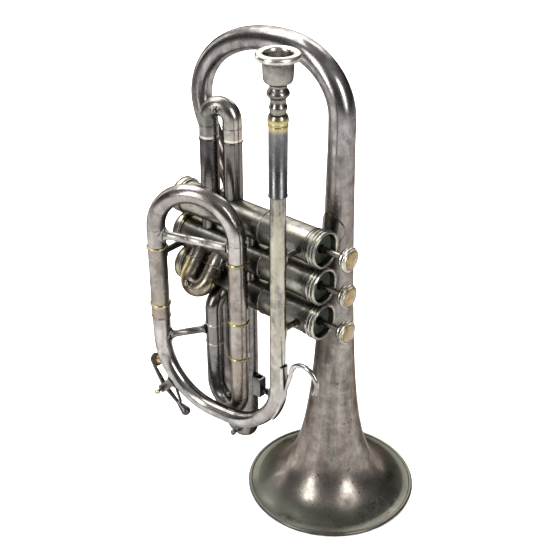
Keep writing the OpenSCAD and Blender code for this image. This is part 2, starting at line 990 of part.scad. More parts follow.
module bottom_caps() {
    color(silver)
        for (i = [1 : 3])
            on_valve(i)
                difference() {
                    union() {
                        translate([0, 0, casing_low - 7])
                            cylinder(r = cap_r - 0.4, h = 7 - 0.02);
                        for (z = [casing_low - 6.4, casing_low - 2.2])
                            translate([0, 0, z])
                                cylinder(r = cap_r, h = 1.5);
                        translate([0, 0, casing_low - 8.2])
                            cylinder(r1 = 7.5, r2 = cap_r - 1.2, h = 1.2);
                    }
                    translate([0, 0, casing_low - 5.5])
                        cylinder(r = casing_low_r - 0.6 + run_gap, h = 7);
                    translate([0, 0, casing_low - 9])
                        cylinder(r = 1.6, h = 8);
                }
}

module knuckles() {
    color(dark_silver)
        difference() {
            for (i = [1 : 2], x = i == 1 ? upper_knuckle_x : lower_knuckle_x)
                translate([x, valve_y, valve_z(i + 1)])
                    tube(knuckle_r, knuckle_bore, valve_pitch);
            for (i = [1 : 3])
                casing_space(i);
        }
}

module valve_guides() {
    color(warm_brass)
        for (i = [1 : 3])
            on_valve(i)
                translate([0, 0, guide_x])
                    intersection() {
                        cylinder(r = piston_r - 0.02, h = guide_thick);
                        translate([-guide_width / 2, -piston_r, 0])
                            cube([guide_width, 2 * piston_r, guide_thick]);
                    }
}

port_places = [-84, -57.8, -46];
piston_wall = 1.2;

module piston(i) {
    color(silver)
        on_valve(i)
            difference() {
                union() {
                    difference() {
                        translate([0, 0, piston_low])
                            cylinder(r = piston_r, h = piston_top - piston_low);
                        translate([0, 0, piston_low + piston_wall])
                            cylinder(r = piston_r - piston_wall, h = piston_top - piston_low - 2 * piston_wall);
                    }
                    intersection() {
                        for (x = port_places)
                            translate([0, 0, x])
                                rotate([0, 90, 0])
                                    cylinder(r = knuckle_bore + 0.8, h = 2 * piston_r, center = true);
                        translate([0, 0, piston_low])
                            cylinder(r = piston_r - 0.5, h = piston_top - piston_low);
                    }
                    translate([0, 0, piston_top - 0.5])
                        cylinder(r = barrel_r, h = barrel_top - piston_top + 0.5);
                }
                translate([0, 0, piston_top])
                    cylinder(r = barrel_bore, h = barrel_top - barrel_lid - piston_top);
                translate([-guide_width / 2 - 0.3, -piston_r, guide_x - 1])
                    cube([guide_width + 0.6, 2 * piston_r, stroke + guide_thick + 2]);
                translate([0, 0, barrel_top - barrel_lid - 1])
                    cylinder(r = stem_r + run_gap, h = barrel_lid + 2);
                translate([0, 0, piston_low - 1])
                    cylinder(r = 2.5, h = piston_wall + 2);
                for (x = port_places)
                    translate([0, 0, x])
                        rotate([0, 90, 0])
                            cylinder(r = knuckle_bore, h = 2 * piston_r + 2, center = true);
            }
}

module valve_stem(i) {
    color(silver)
        on_valve(i)
            translate([0, 0, barrel_top - barrel_lid])
                cylinder(r = stem_r, h = button_face - 3 - barrel_top + barrel_lid);
}

module button(i) {
    color(silver)
        on_valve(i)
            difference() {
                union() {
                    translate([0, 0, button_face - button_thick])
                        cylinder(r = button_r - 1.6, h = 1.4);
                    translate([0, 0, button_face - button_thick + 1.4])
                        cylinder(r = button_r - 0.6, h = 1);
                    translate([0, 0, button_face - button_thick + 2.4])
                        cylinder(r = button_r, h = 1.6);
                    translate([0, 0, button_face - 1.2])
                        cylinder(r = button_r - 0.8, h = 1);
                }
                translate([0, 0, button_face - 1.6])
                    cylinder(r = pearl_r + run_gap, h = 2);
                translate([0, 0, button_face - button_thick - 1])
                    cylinder(r = stem_r + run_gap, h = button_thick - 1.9);
            }
}

module pearl(i) {
    color(amber)
        on_valve(i)
            translate([0, 0, button_face - 1.6])
                cylinder(r1 = pearl_r, r2 = pearl_r - 0.3, h = 1.8);
}

module felt(i) {
    color("darkolivegreen")
        on_valve(i)
            translate([0, 0, button_face - button_thick - felt_thick])
                tube(button_r - 2, stem_r + run_gap, felt_thick);
}

spring_low = guide_x + guide_thick + spring_wire + 0.1;
spring_high = barrel_top - barrel_lid - spring_wire - 0.1;
coil_steps = 16;
coil_count = spring_turns * coil_steps;
coil_path = [
    for (k = [0 : coil_count])
        let (a = 360 * k / coil_steps)
        [spring_r * cos(a), spring_r * sin(a), spring_low + (spring_high - spring_low) * k / coil_count]
];

module valve_spring(i) {
    color("slategray")
        on_valve(i)
            swept_rod(coil_path, spring_wire, [1, 0, 0]);
}

// ---- stays and hook -----------------------------------------------------------------------

module leadpipe_stay(i) {
    z = valve_z(i);
    foot = 1.4;
    difference() {
        union() {
            translate([lead_x, lead_y, z])
                rotate([-90, 0, 0])
                    cylinder(r = stay_r - 0.2, h = valve_y - lead_y);
            translate([lead_x, valve_y - casing_r - foot, z])
                rotate([-90, 0, 0])
                    cylinder(r = stay_r + 0.4, h = foot * 2);
            intersection() {
                translate([lead_x, lead_y, z - 12])
                    cylinder(r = lead_low_r + saddle_thick, h = 24);
                translate([lead_x, lead_y, z])
                    rotate([0, 0, 180])
                        lens(9.6, 3.6, 10);
            }
        }
        translate([lead_x, lead_y, lead_low])
            cylinder(
                r1 = lead_low_r + braze_gap,
                r2 = lead_top_r + braze_gap,
                h = receiver_low + lead_insert - lead_low
            );
        casing_space(i);
    }
}

module leadpipe_stays() {
    color(silver) {
        leadpipe_stay(1);
        leadpipe_stay(3);
    }
}

module casing_stay() {
    z = valve_z(2);
    color(dark_silver)
        difference() {
            union() {
                translate([left_x, left_y, z])
                    rotate([-90, 0, 0])
                        cylinder(r = stay_r, h = valve_y - left_y);
                intersection() {
                    translate([left_x, left_y, z - 6])
                        cylinder(r = sleeve_r + saddle_thick, h = 12);
                    translate([left_x, left_y, z])
                        rotate([0, 0, 180])
                            lens(5, 3.6, 12);
                }
            }
            translate([left_x, left_y, z - 20])
                cylinder(r = sleeve_r + braze_gap, h = 40);
            casing_space(2);
        }
}

lower_stay_low = 122.5;
lower_stay_high = 127.5;
lower_stay_seat_r = crook_r;
lower_stay_yaw = atan2(return_y - left_y, return_x - left_x);
lower_stay_span = norm([return_x - left_x, return_y - left_y]);
lower_stay_tilt = atan2(lower_stay_high - lower_stay_low, lower_stay_span);

module lower_stay() {
    color(dark_silver)
        translate([left_x, left_y, lower_stay_low])
            rotate([0, 0, lower_stay_yaw])
                difference() {
                    union() {
                        rotate([0, 90 - lower_stay_tilt, 0]) {
                            cylinder(r = stay_r - 0.2, h = lower_stay_span);
                            translate([0, 0, lower_stay_span / 2])
                                cylinder(r = stay_r + 0.3, h = 1.2, center = true);
                        }
                        intersection() {
                            cylinder(r = lower_stay_seat_r + saddle_thick, h = 12, center = true);
                            rotate([0, 0, 90])
                                lens(5, 3.4, 12);
                        }
                    }
                    cylinder(r = lower_stay_seat_r + braze_gap, h = 40, center = true);
                    translate([lower_stay_span, 0, 0])
                        cylinder(r = return_r + braze_gap, h = 40, center = true);
                }
}

hook_ring = hook_r + hook_rod_r;
hook_x = 21.4;
hook_z = lead_low + 14.6;
hook_tip = -30;
tongue_thick = 1.3;
tongue_half = 3.2;
tongue_angle = 34;
tongue_top = lead_low + 18;

// Slice of a thin skin around the leadpipe, on its outer side
module tongue_2d() {
    intersection() {
        ring_2d(lead_low_r + braze_gap + tongue_thick, lead_low_r + braze_gap);
        translate([0, -tongue_half])
            square([20, 2 * tongue_half]);
    }
}

// A round bar between two points
module bar(from, to, r1, r2) {
    reach = to - from;
    translate(from)
        rotate([0, acos(reach.z / norm(reach)), atan2(reach.y, reach.x)])
            cylinder(r1 = r1, r2 = r2, h = norm(reach));
}

module finger_hook() {
    ring_start = [hook_x - hook_ring, 0, hook_z];
    ring_end = [hook_x + hook_ring * cos(hook_tip), 0, hook_z + hook_ring * sin(hook_tip)];
    foot = [lead_low_r + hook_rod_r, 0, hook_z - 13];
    color(silver) {
        difference() {
            translate([lead_x, lead_y, 0]) {
                translate([hook_x, 0, hook_z])
                    rotate([90, 0, 0])
                        rotate([0, 0, hook_tip])
                            rotate_extrude(angle = 180 - hook_tip)
                                translate([hook_ring, 0])
                                    circle(hook_rod_r);
                translate(ring_start)
                    sphere(r = hook_rod_r + 0.02);
                translate(ring_end)
                    sphere(r = hook_rod_r + 0.5);
                bar(ring_start, foot, hook_rod_r, hook_rod_r * 0.8);
                translate(foot)
                    sphere(r = hook_rod_r * 0.8 + 0.02);
            }
            translate([lead_x, lead_y, lead_low - 8])
                cylinder(r = lead_low_r + braze_gap, h = 40);
        }
        translate([lead_x, lead_y, lead_low])
            linear_extrude(tongue_top - lead_low)
                tongue_2d();
        front_frame()
            translate([-bow_lead_r, 0, lead_low])
                rotate([-90, 0, 0])
                    rotate_extrude(angle = tongue_angle)
                        translate([bow_lead_r, 0])
                            tongue_2d();
    }
}

// ---- lyre box -----------------------------------------------------------------------------

lyre_wall = 1;
lyre_x = third_x + crook_span / 2 + sleeve_r + braze_gap;
lyre_depth = 15;
lyre_screw_r = 1.5;

module lyre_box() {
    outer = lyre_slot + 2 * lyre_wall;
    color(dark_silver)
        difference() {
            translate([lyre_x - 1.2, third_y - outer / 2, lyre_z - lyre_depth / 2])
                cube([outer + 1.2, outer, lyre_depth]);
            translate([lyre_x + lyre_wall, third_y - lyre_slot / 2, lyre_z - lyre_depth / 2 - 1])
                cube([lyre_slot, lyre_slot, lyre_depth + 2]);
            translate([lyre_x + outer - lyre_wall - 1, third_y, lyre_z - 2])
                rotate([0, 90, 0])
                    cylinder(r = lyre_screw_r + run_gap, h = lyre_wall + 2);
            translate([third_x + crook_span / 2, third_y, lyre_z - lyre_depth])
                cylinder(r = sleeve_r + braze_gap, h = 2 * lyre_depth);
        }
}

module lyre_screw() {
    outer = lyre_slot + 2 * lyre_wall;
    color(dark_silver)
        translate([lyre_x + outer, third_y, lyre_z - 2])
            rotate([0, 90, 0]) {
                translate([0, 0, 0.1 - lyre_wall])
                    cylinder(r = lyre_screw_r, h = lyre_wall + 3.9);
                translate([0, 0, 3])
                    cylinder(r = 2.4, h = 1.6);
                translate([0, 0, 8])
                    rotate([90, 0, 0])
                        cylinder(r = 4.2, h = 1.8, center = true);
            }
}

// ---- water key ----------------------------------------------------------------------------

key_angle = -44;
key_turn = 20;
key_pin_r = 1;
key_hub_r = 2.4;
key_hub_half = 2.6;
ear_thick = 1.3;
nipple_r = 3;
nipple_top = bow_slide_r + crook_r + 4.2;
pad_r = 3.9;
cup_rim_r = 4.7;

// Stands at the bend's centre with +X pointing out through the bow at an angle
module key_frame(angle) {
    front_frame()
        translate([-front_span + bow_slide_r, 0, bow_low + bow_slide_r])
            rotate([0, 180 + angle, 0])
                children();
}

// The bow's own skin at the water key, with room for solder
module bow_space() {
    key_frame(key_angle)
        rotate([90, 0, 0])
            rotate([0, 0, -60])
                rotate_extrude(angle = 120)
                    translate([bow_slide_r, 0])
                        circle(crook_r + braze_gap);
}

module water_key_saddle() {
    color(dark_silver)
        difference() {
            key_frame(key_angle) {
                for (side = [-1, 1])
                    translate([0, side * (key_hub_half + 0.3 + ear_thick / 2), 0]) {
                        translate([bow_slide_r + crook_r - 1.5, -ear_thick / 2, -3])
                            cube([key_reach - bow_slide_r - crook_r + 1.5, ear_thick, 6]);
                        translate([key_reach, 0, 0])
                            rotate([90, 0, 0])
                                cylinder(r = 3, h = ear_thick, center = true);
                    }
                translate([bow_slide_r + crook_r - 1.5, -key_hub_half - 0.3, -4.5])
                    cube([2.8, 2 * key_hub_half + 0.6, 9]);
            }
            bow_space();
            key_frame(key_angle)
                translate([key_reach, 0, 0])
                    rotate([90, 0, 0])
                        cylinder(r = key_pin_r + run_gap, h = 30, center = true);
        }
}

module water_nipple() {
    color(warm_brass)
        difference() {
            key_frame(key_angle + key_turn)
                translate([bow_slide_r + crook_r - 1, 0, 0])
                    rotate([0, 90, 0])
                        tube(nipple_r, 1.5, nipple_top - bow_slide_r - crook_r + 1);
            bow_space();
        }
}

module water_key_screw() {
    reach = key_hub_half + ear_thick + 0.3;
    color(silver)
        key_frame(key_angle)
            translate([key_reach, 0, 0])
                rotate([90, 0, 0]) {
                    translate([0, 0, -reach])
                        cylinder(r = key_pin_r, h = 2 * reach + 3.2);
                    translate([0, 0, reach + 0.1])
                        cylinder(r = 1.7, h = 1);
                    translate([0, 0, reach + 4.4])
                        sphere(r = 2.1);
                }
}

pad_reach = nipple_top + 0.02;
cork_thick = 1.6;

module water_key_lever() {
    color(silver) {
        difference() {
            key_frame(key_angle) {
                translate([key_reach, 0, 0])
                    rotate([90, 0, 0])
                        cylinder(r = key_hub_r, h = 2 * key_hub_half, center = true);
                hull() {
                    translate([key_reach, 0, -1])
                        sphere(r = 1.9, $fn = soft);
                    translate([key_reach - 2.6, 0, -key_arm * 0.7])
                        sphere(r = 1.4, $fn = soft);
                }
                hull() {
                    translate([key_reach - 2.6, 0, -key_arm * 0.7])
                        sphere(r = 1.4, $fn = soft);
                    translate([key_reach - 5.4, 0, -key_arm])
                        sphere(r = 1.6, $fn = soft);
                }
                hull() {
                    translate([key_reach, 0, 1])
                        sphere(r = 1.9, $fn = soft);
                    translate([key_reach - 1.4, 0, key_arm * 0.7])
                        sphere(r = 1.3, $fn = soft);
                }
                hull() {
                    translate([key_reach - 1.4, 0, key_arm * 0.7])
                        sphere(r = 1.3, $fn = soft);
                    translate([key_reach - 3, 0, key_arm + 2])
                        sphere(r = 3.4, $fn = soft);
                }
            }
            key_frame(key_angle)
                translate([key_reach, 0, 0])
                    rotate([90, 0, 0])
                        cylinder(r = key_pin_r + run_gap, h = 30, center = true);
        }
        key_frame(key_angle + key_turn)
            rotate([0, 90, 0])
                difference() {
                    union() {
                        translate([0, 0, pad_reach + 0.4])
                            cylinder(r = cup_rim_r, h = 2.2);
                        translate([0, 0, pad_reach + 2.6])
                            cylinder(r1 = cup_rim_r, r2 = 1.8, h = 2.8);
                    }
                    translate([0, 0, pad_reach])
                        cylinder(r = pad_r + run_gap, h = cork_thick + 0.4);
                }
    }
}

module water_key_pad() {
    color("peru")
        key_frame(key_angle + key_turn)
            translate([pad_reach, 0, 0])
                rotate([0, 90, 0])
                    cylinder(r = pad_r, h = cork_thick + 0.3);
}

module water_key_spring() {
    color("slategray")
        key_frame(key_angle)
            translate([bow_slide_r + crook_r + 1.4, -1.2, 3])
                rotate([0, 25, 0])
                    cube([0.5, 2.4, 14]);
}

// ---- assembly -----------------------------------------------------------------------------

bell();
rim_wire();
bell_bow();
bell_tail_ferrule();
receiver();
leadpipe();
front_bow();
lower_slide_sleeve();
upper_slide_sleeve();
return_bow();
return_tube();
first_slide_sleeves();
second_slide_sleeves();
third_slide_sleeves();
valve_casing(1);  // valve_casing_1
valve_casing(2);  // valve_casing_2
valve_casing(3);  // valve_casing_3
top_caps();
bottom_caps();
knuckles();
valve_guides();
leadpipe_stays();
bell_stays();
casing_stay();
lower_stay();
finger_hook();
lyre_box();
lyre_screw();
water_key_saddle();
water_nipple();
water_key_screw();
water_key_lever();
water_key_pad();
water_key_spring();
mouthpiece();
main_slide();
main_slide_stay();
first_slide();
second_slide();
third_slide();
piston(1);  // piston_1
piston(2);  // piston_2
piston(3);  // piston_3
valve_stem(1);  // valve_stem_1
valve_stem(2);  // valve_stem_2
valve_stem(3);  // valve_stem_3
button(1);  // button_1
button(2);  // button_2
button(3);  // button_3
pearl(1);  // pearl_1
pearl(2);  // pearl_2
pearl(3);  // pearl_3
felt(1);  // felt_1
felt(2);  // felt_2
felt(3);  // felt_3
valve_spring(1);  // valve_spring_1
valve_spring(2);  // valve_spring_2
valve_spring(3);  // valve_spring_3
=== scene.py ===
"""Looks of a three-valve cornet in tarnished silver plate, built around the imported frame."""
import math

import bmesh
import bpy
from mathutils import Matrix, Vector


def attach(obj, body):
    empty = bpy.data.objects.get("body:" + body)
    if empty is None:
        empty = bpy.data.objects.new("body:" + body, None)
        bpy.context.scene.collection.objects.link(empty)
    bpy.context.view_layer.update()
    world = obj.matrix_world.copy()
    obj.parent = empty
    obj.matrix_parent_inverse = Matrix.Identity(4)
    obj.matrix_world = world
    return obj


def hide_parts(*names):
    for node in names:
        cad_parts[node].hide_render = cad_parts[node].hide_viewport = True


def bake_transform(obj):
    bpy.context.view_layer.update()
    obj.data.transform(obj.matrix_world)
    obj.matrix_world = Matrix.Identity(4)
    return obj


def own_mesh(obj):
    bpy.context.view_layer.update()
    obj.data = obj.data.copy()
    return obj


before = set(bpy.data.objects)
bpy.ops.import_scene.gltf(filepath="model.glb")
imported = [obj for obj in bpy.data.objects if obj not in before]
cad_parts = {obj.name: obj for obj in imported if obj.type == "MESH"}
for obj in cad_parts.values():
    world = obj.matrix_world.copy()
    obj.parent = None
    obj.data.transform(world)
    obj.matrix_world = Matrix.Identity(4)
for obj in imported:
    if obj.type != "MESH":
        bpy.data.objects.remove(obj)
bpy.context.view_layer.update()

MM = 0.001
WELD = 1e-7
ON_AXIS = 1e-6
BODY = "cornet_body"

# ---- driving sizes, in millimetres, the same as the solids' -------------------------------------

RIM_R = 60.0
ROLL_R = 1.6
EDGE_R = 1.35
BELL_WALL = 0.8
HORN_LENGTH = 11.65
HORN_POWER = 0.635
STEM_TOP = 262.0
ROLL_START, ROLL_TURN = 232.0, 283.0

BOW_SPRING = 282.0
BOW_CROWN = 321.0
BOW_NEAR = 45.0
BOW_FAR = 65.0
BOW_FALL = 279.0
BOW_DRIFT = 9.0
BOW_FULLNESS = 0.9
TAIL_R = 6.7
TAIL_X = -76.0
TAIL_PITCH = 24.0
TAIL_STUB = 4.0
TAIL_LIP = 1.5
TAIL_DROP = 24.0
TAIL_LEAD = 10.0

BORE_R = 5.3
WALL = 0.5
INNER_R = BORE_R + WALL
SLEEVE_R = INNER_R + 0.05 + WALL
CROOK_R = SLEEVE_R - 0.1
RETURN_R = INNER_R + 0.2
BEAD = 0.9
JOINT_GAP = 0.1

LEAD = Vector((1.35, -61.0, 0.0))
LEAD_TOP_R = 4.9
LEAD_LOW_R = 5.2
RECEIVER_LOW = 253.5
RECEIVER_TOP = 297.0
RECEIVER_R = 5.6
RECEIVER_BORE = 4.42
RECEIVER_BALL_R = 6.15
MOUTH_TOP = 339.5
MOUTH_RIM_R = 13.0
MOUTH_RIM_HEIGHT = 4.6
CUP_R, CUP_DEPTH = 8.0, 10.6
SHANK_LENGTH = 26.0
FRONT_LOW = 77.3
FRONT_LEAD_BEND = 41.0
FRONT_SLIDE_BEND = 44.0
FRONT_TOP = 137.0

MAIN_SPAN = 57.6
MAIN_YAW = math.radians(18.5)
RIGHT = Vector((-39.9, -52.6, 0.0))
LEFT = RIGHT - MAIN_SPAN * Vector((math.cos(MAIN_YAW), math.sin(MAIN_YAW), 0.0))
MAIN_MOUTH = 191.5
MAIN_SPRING = 204.8
MAIN_INNER = 50.0
MAIN_STAY_Z = 200.4
MAIN_STAY_R = 2.75
SLEEVE_STOP = 139.5
SLEEVE_STEP = 28.8
RING_Z = 147.6
RETURN_RINGS = (133.2, 118.1)
LOWER_STAY_FOOT, LOWER_STAY_HEAD = 122.5, 127.5
LOWER_STAY_R = 2.5
RETURN_JOINT = 86.8
RETURN_SPAN = 26.8
RETURN_YAW = math.radians(-8.8)

VALVE_Y = -32.0
VALVE_MID_Z = 184.7
VALVE_PITCH = 26.0
VALVES = (1, 2, 3)
CASING_LOW_R = 10.8
CASING_TOP = 8.2
CASING_LOW = -102.0
CAP_R = 12.2
BUTTON_FACE = 35.0
BUTTON_R = 8.0
PEARL_R = 5.9
STEM_R = 2.0
SPRING_LOW, SPRING_HIGH = -30.45, -8.55
SPRING_R, SPRING_WIRE_R = 5.4, 0.45
SPRING_TURNS = 6

CROOK_SPAN = 16.4
FIRST_X, FIRST_MOUTH, FIRST_SPRING, FIRST_INNER = -71.6, 260.7, 274.0, 32.0
SECOND_X, SECOND_MOUTH, SECOND_SPRING, SECOND_INNER = -77.2, 17.3, 26.0, 5.0
SECOND_PITCH = math.radians(50.0)
SECOND_OFFSET = 1.5
THIRD_X, THIRD_Y, THIRD_MOUTH, THIRD_SPRING, THIRD_INNER = -63.2, -26.5, 47.5, 40.5, 45.0
FIRST_SEAMS = (269.6, 269.1)
SECOND_SEAMS = (21.6, 22.1)
THIRD_SEAMS = (-42.6,)
MAIN_SEAMS = (204.4,)
KNOB_REACH = 9.6
KNOB_R = 2.2
SEAM_R = 0.2


def valve_z(i):
    """Height of a valve's axis; the first valve is the top one."""
    return VALVE_MID_Z + (2 - i) * VALVE_PITCH


# ---- mesh helpers -------------------------------------------------------------------------------


def add_object(name, shape, material, body, sharp_degrees=38.0):
    """A smooth mesh of (vertices, faces), sharp edges kept. With no body it rides on none yet."""
    verts, faces = shape
    mesh = bpy.data.meshes.new(name)
    mesh.from_pydata([tuple(v) for v in verts], [], faces)
    work = bmesh.new()
    work.from_mesh(mesh)
    bmesh.ops.remove_doubles(work, verts=work.verts, dist=WELD)
    bmesh.ops.recalc_face_normals(work, faces=work.faces)
    limit = math.radians(sharp_degrees)
    for face in work.faces:
        face.smooth = True
    for edge in work.edges:
        edge.smooth = len(edge.link_faces) != 2 or edge.calc_face_angle(0.0) < limit
    work.to_mesh(mesh)
    work.free()
    obj = bpy.data.objects.new(name, mesh)
    bpy.context.scene.collection.objects.link(obj)
    mesh.materials.append(material)
    if body:
        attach(obj, body)
    return obj


def frame_at(origin, z_axis, x_hint=(1, 0, 0)):
    """A matrix whose Z runs along z_axis and whose X is close to x_hint."""
    z = Vector(z_axis).normalized()
    x = Vector(x_hint)
    x = (x - z * x.dot(z)).normalized()
    y = z.cross(x)
    m = Matrix((x, y, z)).transposed().to_4x4()
    m.translation = Vector(origin)
    return m


def rounded(profile, radius, steps=3):
    """The profile's points with each corner between its ends turned into a small arc."""
    out = [profile[0]]
    for before, here, after in zip(profile, profile[1:], profile[2:]):
        a, b = before - here, after - here
        cut = min(radius, a.length * 0.45, b.length * 0.45)
        start = here + a.normalized() * cut
        end = here + b.normalized() * cut
        for k in range(steps + 1):
            t = k / steps
            out.append(start * (1 - t) ** 2 + here * 2 * t * (1 - t) + end * t * t)
    out.append(profile[-1])
    return out


def lathe(profile, place, segments=72, closed=True):
    """Turns (radius, height) points about the Z of place. Returns vertices in metres and faces."""
    verts, faces = [], []
    count = len(profile)
    for s in range(segments):
        a = 2 * math.pi * s / segments
        for r, z in profile:
            verts.append((place @ Vector((r * math.cos(a), r * math.sin(a), z))) * MM)
    spans = count if closed else count - 1
    for s in range(segments):
        t = (s + 1) % segments
        for k in range(spans):
            j = (k + 1) % count
            a, b, c, d = s * count + k, t * count + k, t * count + j, s * count + j
            if min(profile[k][0], profile[j][0]) >= ON_AXIS:
                faces.append([a, b, c, d])
            elif profile[j][0] >= ON_AXIS:
                faces.append([a, c, d])
            elif profile[k][0] >= ON_AXIS:
                faces.append([a, b, c])
    return verts, faces


def sweep(path, outer, inner, start_normal, sides=56):
    """A tube of changing radius along a path. With no inner radii it is a capped rod."""
    count = len(path)
    normal = Vector(start_normal)
    verts, faces = [], []
    layers = [outer] if inner is None else [outer, inner]
    rings = []
    for k in range(count):
        tangent = (path[min(k + 1, count - 1)] - path[max(k - 1, 0)]).normalized()
        normal = (normal - tangent * normal.dot(tangent)).normalized()
        rings.append((path[k], normal, tangent.cross(normal)))
    for radii in layers:
        for k, (centre, n, b) in enumerate(rings):
            for s in range(sides):
                a = 2 * math.pi * s / sides
                verts.append((centre + radii[k] * (math.cos(a) * n + math.sin(a) * b)) * MM)
    skin = count * sides
    for layer in range(len(layers)):
        for k in range(count - 1):
            for s in range(sides):
                t = (s + 1) % sides
                a = layer * skin + k * sides
                faces.append([a + s, a + t, a + t + sides, a + s + sides])
    last = skin - sides
    if inner is None:
        faces.append(list(range(sides)))
        faces.append([last + s for s in range(sides)])
        return verts, faces
    for s in range(sides):
        t = (s + 1) % sides
        faces.append([s, t, t + skin, s + skin])
        faces.append([last + s, last + t, last + t + skin, last + s + skin])
    return verts, faces


def joined(*parts):
    """Several (vertices, faces) meshes as one."""
    verts, faces = [], []
    for v, f in parts:
        base = len(verts)
        verts += v
        faces += [[base + i for i in face] for face in f]
    return verts, faces


def ball(place, r, rings=14, segments=28):
    """A sphere about the origin of place."""
    angles = [math.pi * k / rings for k in range(rings + 1)]
    profile = [(r * math.sin(a), -r * math.cos(a)) for a in angles]
    profile[0] = (0.0, -r)
    profile[-1] = (0.0, r)
    return lathe(profile, place, segments, closed=False)


def torus(place, big, small, sides=12, segments=72):
    """A ring about the Z of place."""
    profile = [
        (big + small * math.cos(2 * math.pi * k / sides), small * math.sin(2 * math.pi * k / sides))
        for k in range(sides)
    ]
    return lathe(profile, place, segments)


def bead_points(r, z, size, steps=6):
    """Points of a half-round bead on a tube's profile, from its foot up."""
    angles = [math.pi * k / steps for k in range(steps + 1)]
    return [(r + size * math.sin(a), z - size * math.cos(a)) for a in angles]


def tube_profile(outer, bore, low, high, beads=(), edge=0.15):
    """A tube's outline with bead rings and softened mouths."""
    points = [(bore, low), (outer - edge, low), (outer, low + edge)]
    for z, size in sorted(beads):
        points += bead_points(outer, z, size)
    points += [(outer, high - edge), (outer - edge, high), (bore, high)]
    return points


def up(x, y, z=0.0):
    """An upright place at a point."""
    return frame_at((x, y, z), (0, 0, 1))


# ---- materials ----------------------------------------------------------------------------------


class Graph:
    """Short names for building a node tree."""

    def __init__(self, name):
        self.material = bpy.data.materials.new(name)
        self.material.use_nodes = True
        self.nodes = self.material.node_tree.nodes
        self.links = self.material.node_tree.links
        self.shader = self.nodes["Principled BSDF"]
        self.coords = self.nodes.new("ShaderNodeTexCoord").outputs["Object"]

    def put(self, socket, value):
        if isinstance(value, bpy.types.NodeSocket):
            self.links.new(value, socket)
        else:
            socket.default_value = value

    def scaled(self, sx, sy, sz):
        node = self.nodes.new("ShaderNodeMapping")
        self.links.new(self.coords, node.inputs["Vector"])
        node.inputs["Scale"].default_value = (sx, sy, sz)
        return node.outputs["Vector"]

    def noise(self, scale, detail=4.0, rough=0.55, distortion=0.0, vector=None):
        node = self.nodes.new("ShaderNodeTexNoise")
        self.links.new(vector or self.coords, node.inputs["Vector"])
        node.inputs["Scale"].default_value = scale
        node.inputs["Detail"].default_value = detail
        node.inputs["Roughness"].default_value = rough
        node.inputs["Distortion"].default_value = distortion
        return node.outputs["Fac"]

    def cells(self, scale):
        node = self.nodes.new("ShaderNodeTexVoronoi")
        self.links.new(self.coords, node.inputs["Vector"])
        node.inputs["Scale"].default_value = scale
        return node.outputs["Distance"]

    def math(self, kind, a, b=0.0, c=0.0):
        node = self.nodes.new("ShaderNodeMath")
        node.operation = kind
        for socket, value in zip(node.inputs, (a, b, c)):
            self.put(socket, value)
        return node.outputs[0]

    def remap(self, value, a, b, c=0.0, d=1.0):
        node = self.nodes.new("ShaderNodeMapRange")
        node.interpolation_type = "SMOOTHSTEP"
        for socket, item in zip(node.inputs, (value, a, b, c, d)):
            self.put(socket, item)
        return node.outputs[0]

    def mix(self, factor, a, b):
        node = self.nodes.new("ShaderNodeMix")
        node.data_type = "RGBA"
        self.put(node.inputs["Factor"], factor)
        for socket, value in ((node.inputs[6], a), (node.inputs[7], b)):
            self.put(socket, (*value, 1.0) if isinstance(value, tuple) and len(value) == 3 else value)
        return node.outputs[2]

    def axis(self, which):
        node = self.nodes.new("ShaderNodeSeparateXYZ")
        self.links.new(self.coords, node.inputs[0])
        return node.outputs["XYZ".index(which)]

    # Ambient occlusion, which the materials use to paint shade into crevices.
    def crevice(self, distance):
        node = self.nodes.new("ShaderNodeAmbientOcclusion")
        node.samples = 6
        node.inputs["Distance"].default_value = distance
        return node.outputs["AO"]

    def bump(self, height, strength, distance, normal=None):
        node = self.nodes.new("ShaderNodeBump")
        node.inputs["Strength"].default_value = strength
        node.inputs["Distance"].default_value = distance
        self.links.new(height, node.inputs["Height"])
        if normal is not None:
            self.links.new(normal, node.inputs["Normal"])
        return node.outputs["Normal"]


BRASS = (0.32, 0.265, 0.125)
TINT = (0.24, 0.205, 0.105)
# colour of grime and painted shade in crevices
GRIME_AND_SHADE = (0.016, 0.013, 0.011)
PIT = (0.04, 0.022, 0.015)
EDGE_TINT = (0.4, 0.38, 0.37, 1.0)

# how finely the patterns repeat, per metre; the drawn grain has a figure each for X, Y and Z
UP = (900.0, 900.0, 50.0)
ALONG_VALVES = (50.0, 900.0, 900.0)
TURNED = (45.0, 45.0, 1500.0)
RUN_TO_GRAIN = 0.28
CLOUD_SCALE = 34.0
MOTTLE_SCALE = 130.0
FINE_SCALE = 1400.0
BLOOM_SCALE = 17.0
BARE_SCALE = 48.0
SMALL_PIT_SCALE = 420.0
PIT_SCALE = 170.0
PATCH_SCALE = 30.0
DENT_SCALE = 55.0

# depths in metres
# CREVICE_REACH is how far the ambient occlusion for the painted crevice shade looks
CREVICE_REACH = 0.0045
DENT_DEPTH = 0.0007
SCRATCH_DEPTH = 0.0003
MOTTLE_DEPTH = 0.0002


def band_mask(g, bands):
    """One inside any of the bands, falling softly to nothing at their edges."""
    mask = None
    for which, centre, half in bands:
        away = g.math("ABSOLUTE", g.math("SUBTRACT", g.axis(which), centre * MM))
        band = g.remap(away, half * MM * 1.25, half * MM * 0.6)
        mask = band if mask is None else g.math("MAXIMUM", mask, band)
    return mask


def pit_mask(g, amount):
    """Small and large round pits, gathered in patches."""
    small_spot = g.remap(g.cells(SMALL_PIT_SCALE), 0.2, 0.08)
    spot = g.math("MAXIMUM", small_spot, g.remap(g.cells(PIT_SCALE), 0.17, 0.1))
    patch = g.remap(g.noise(PATCH_SCALE, 3.0, 0.6), 0.6 - 0.14 * amount, 0.7 - 0.14 * amount)
    return g.math("MULTIPLY", g.math("MULTIPLY", spot, patch), 0.85)


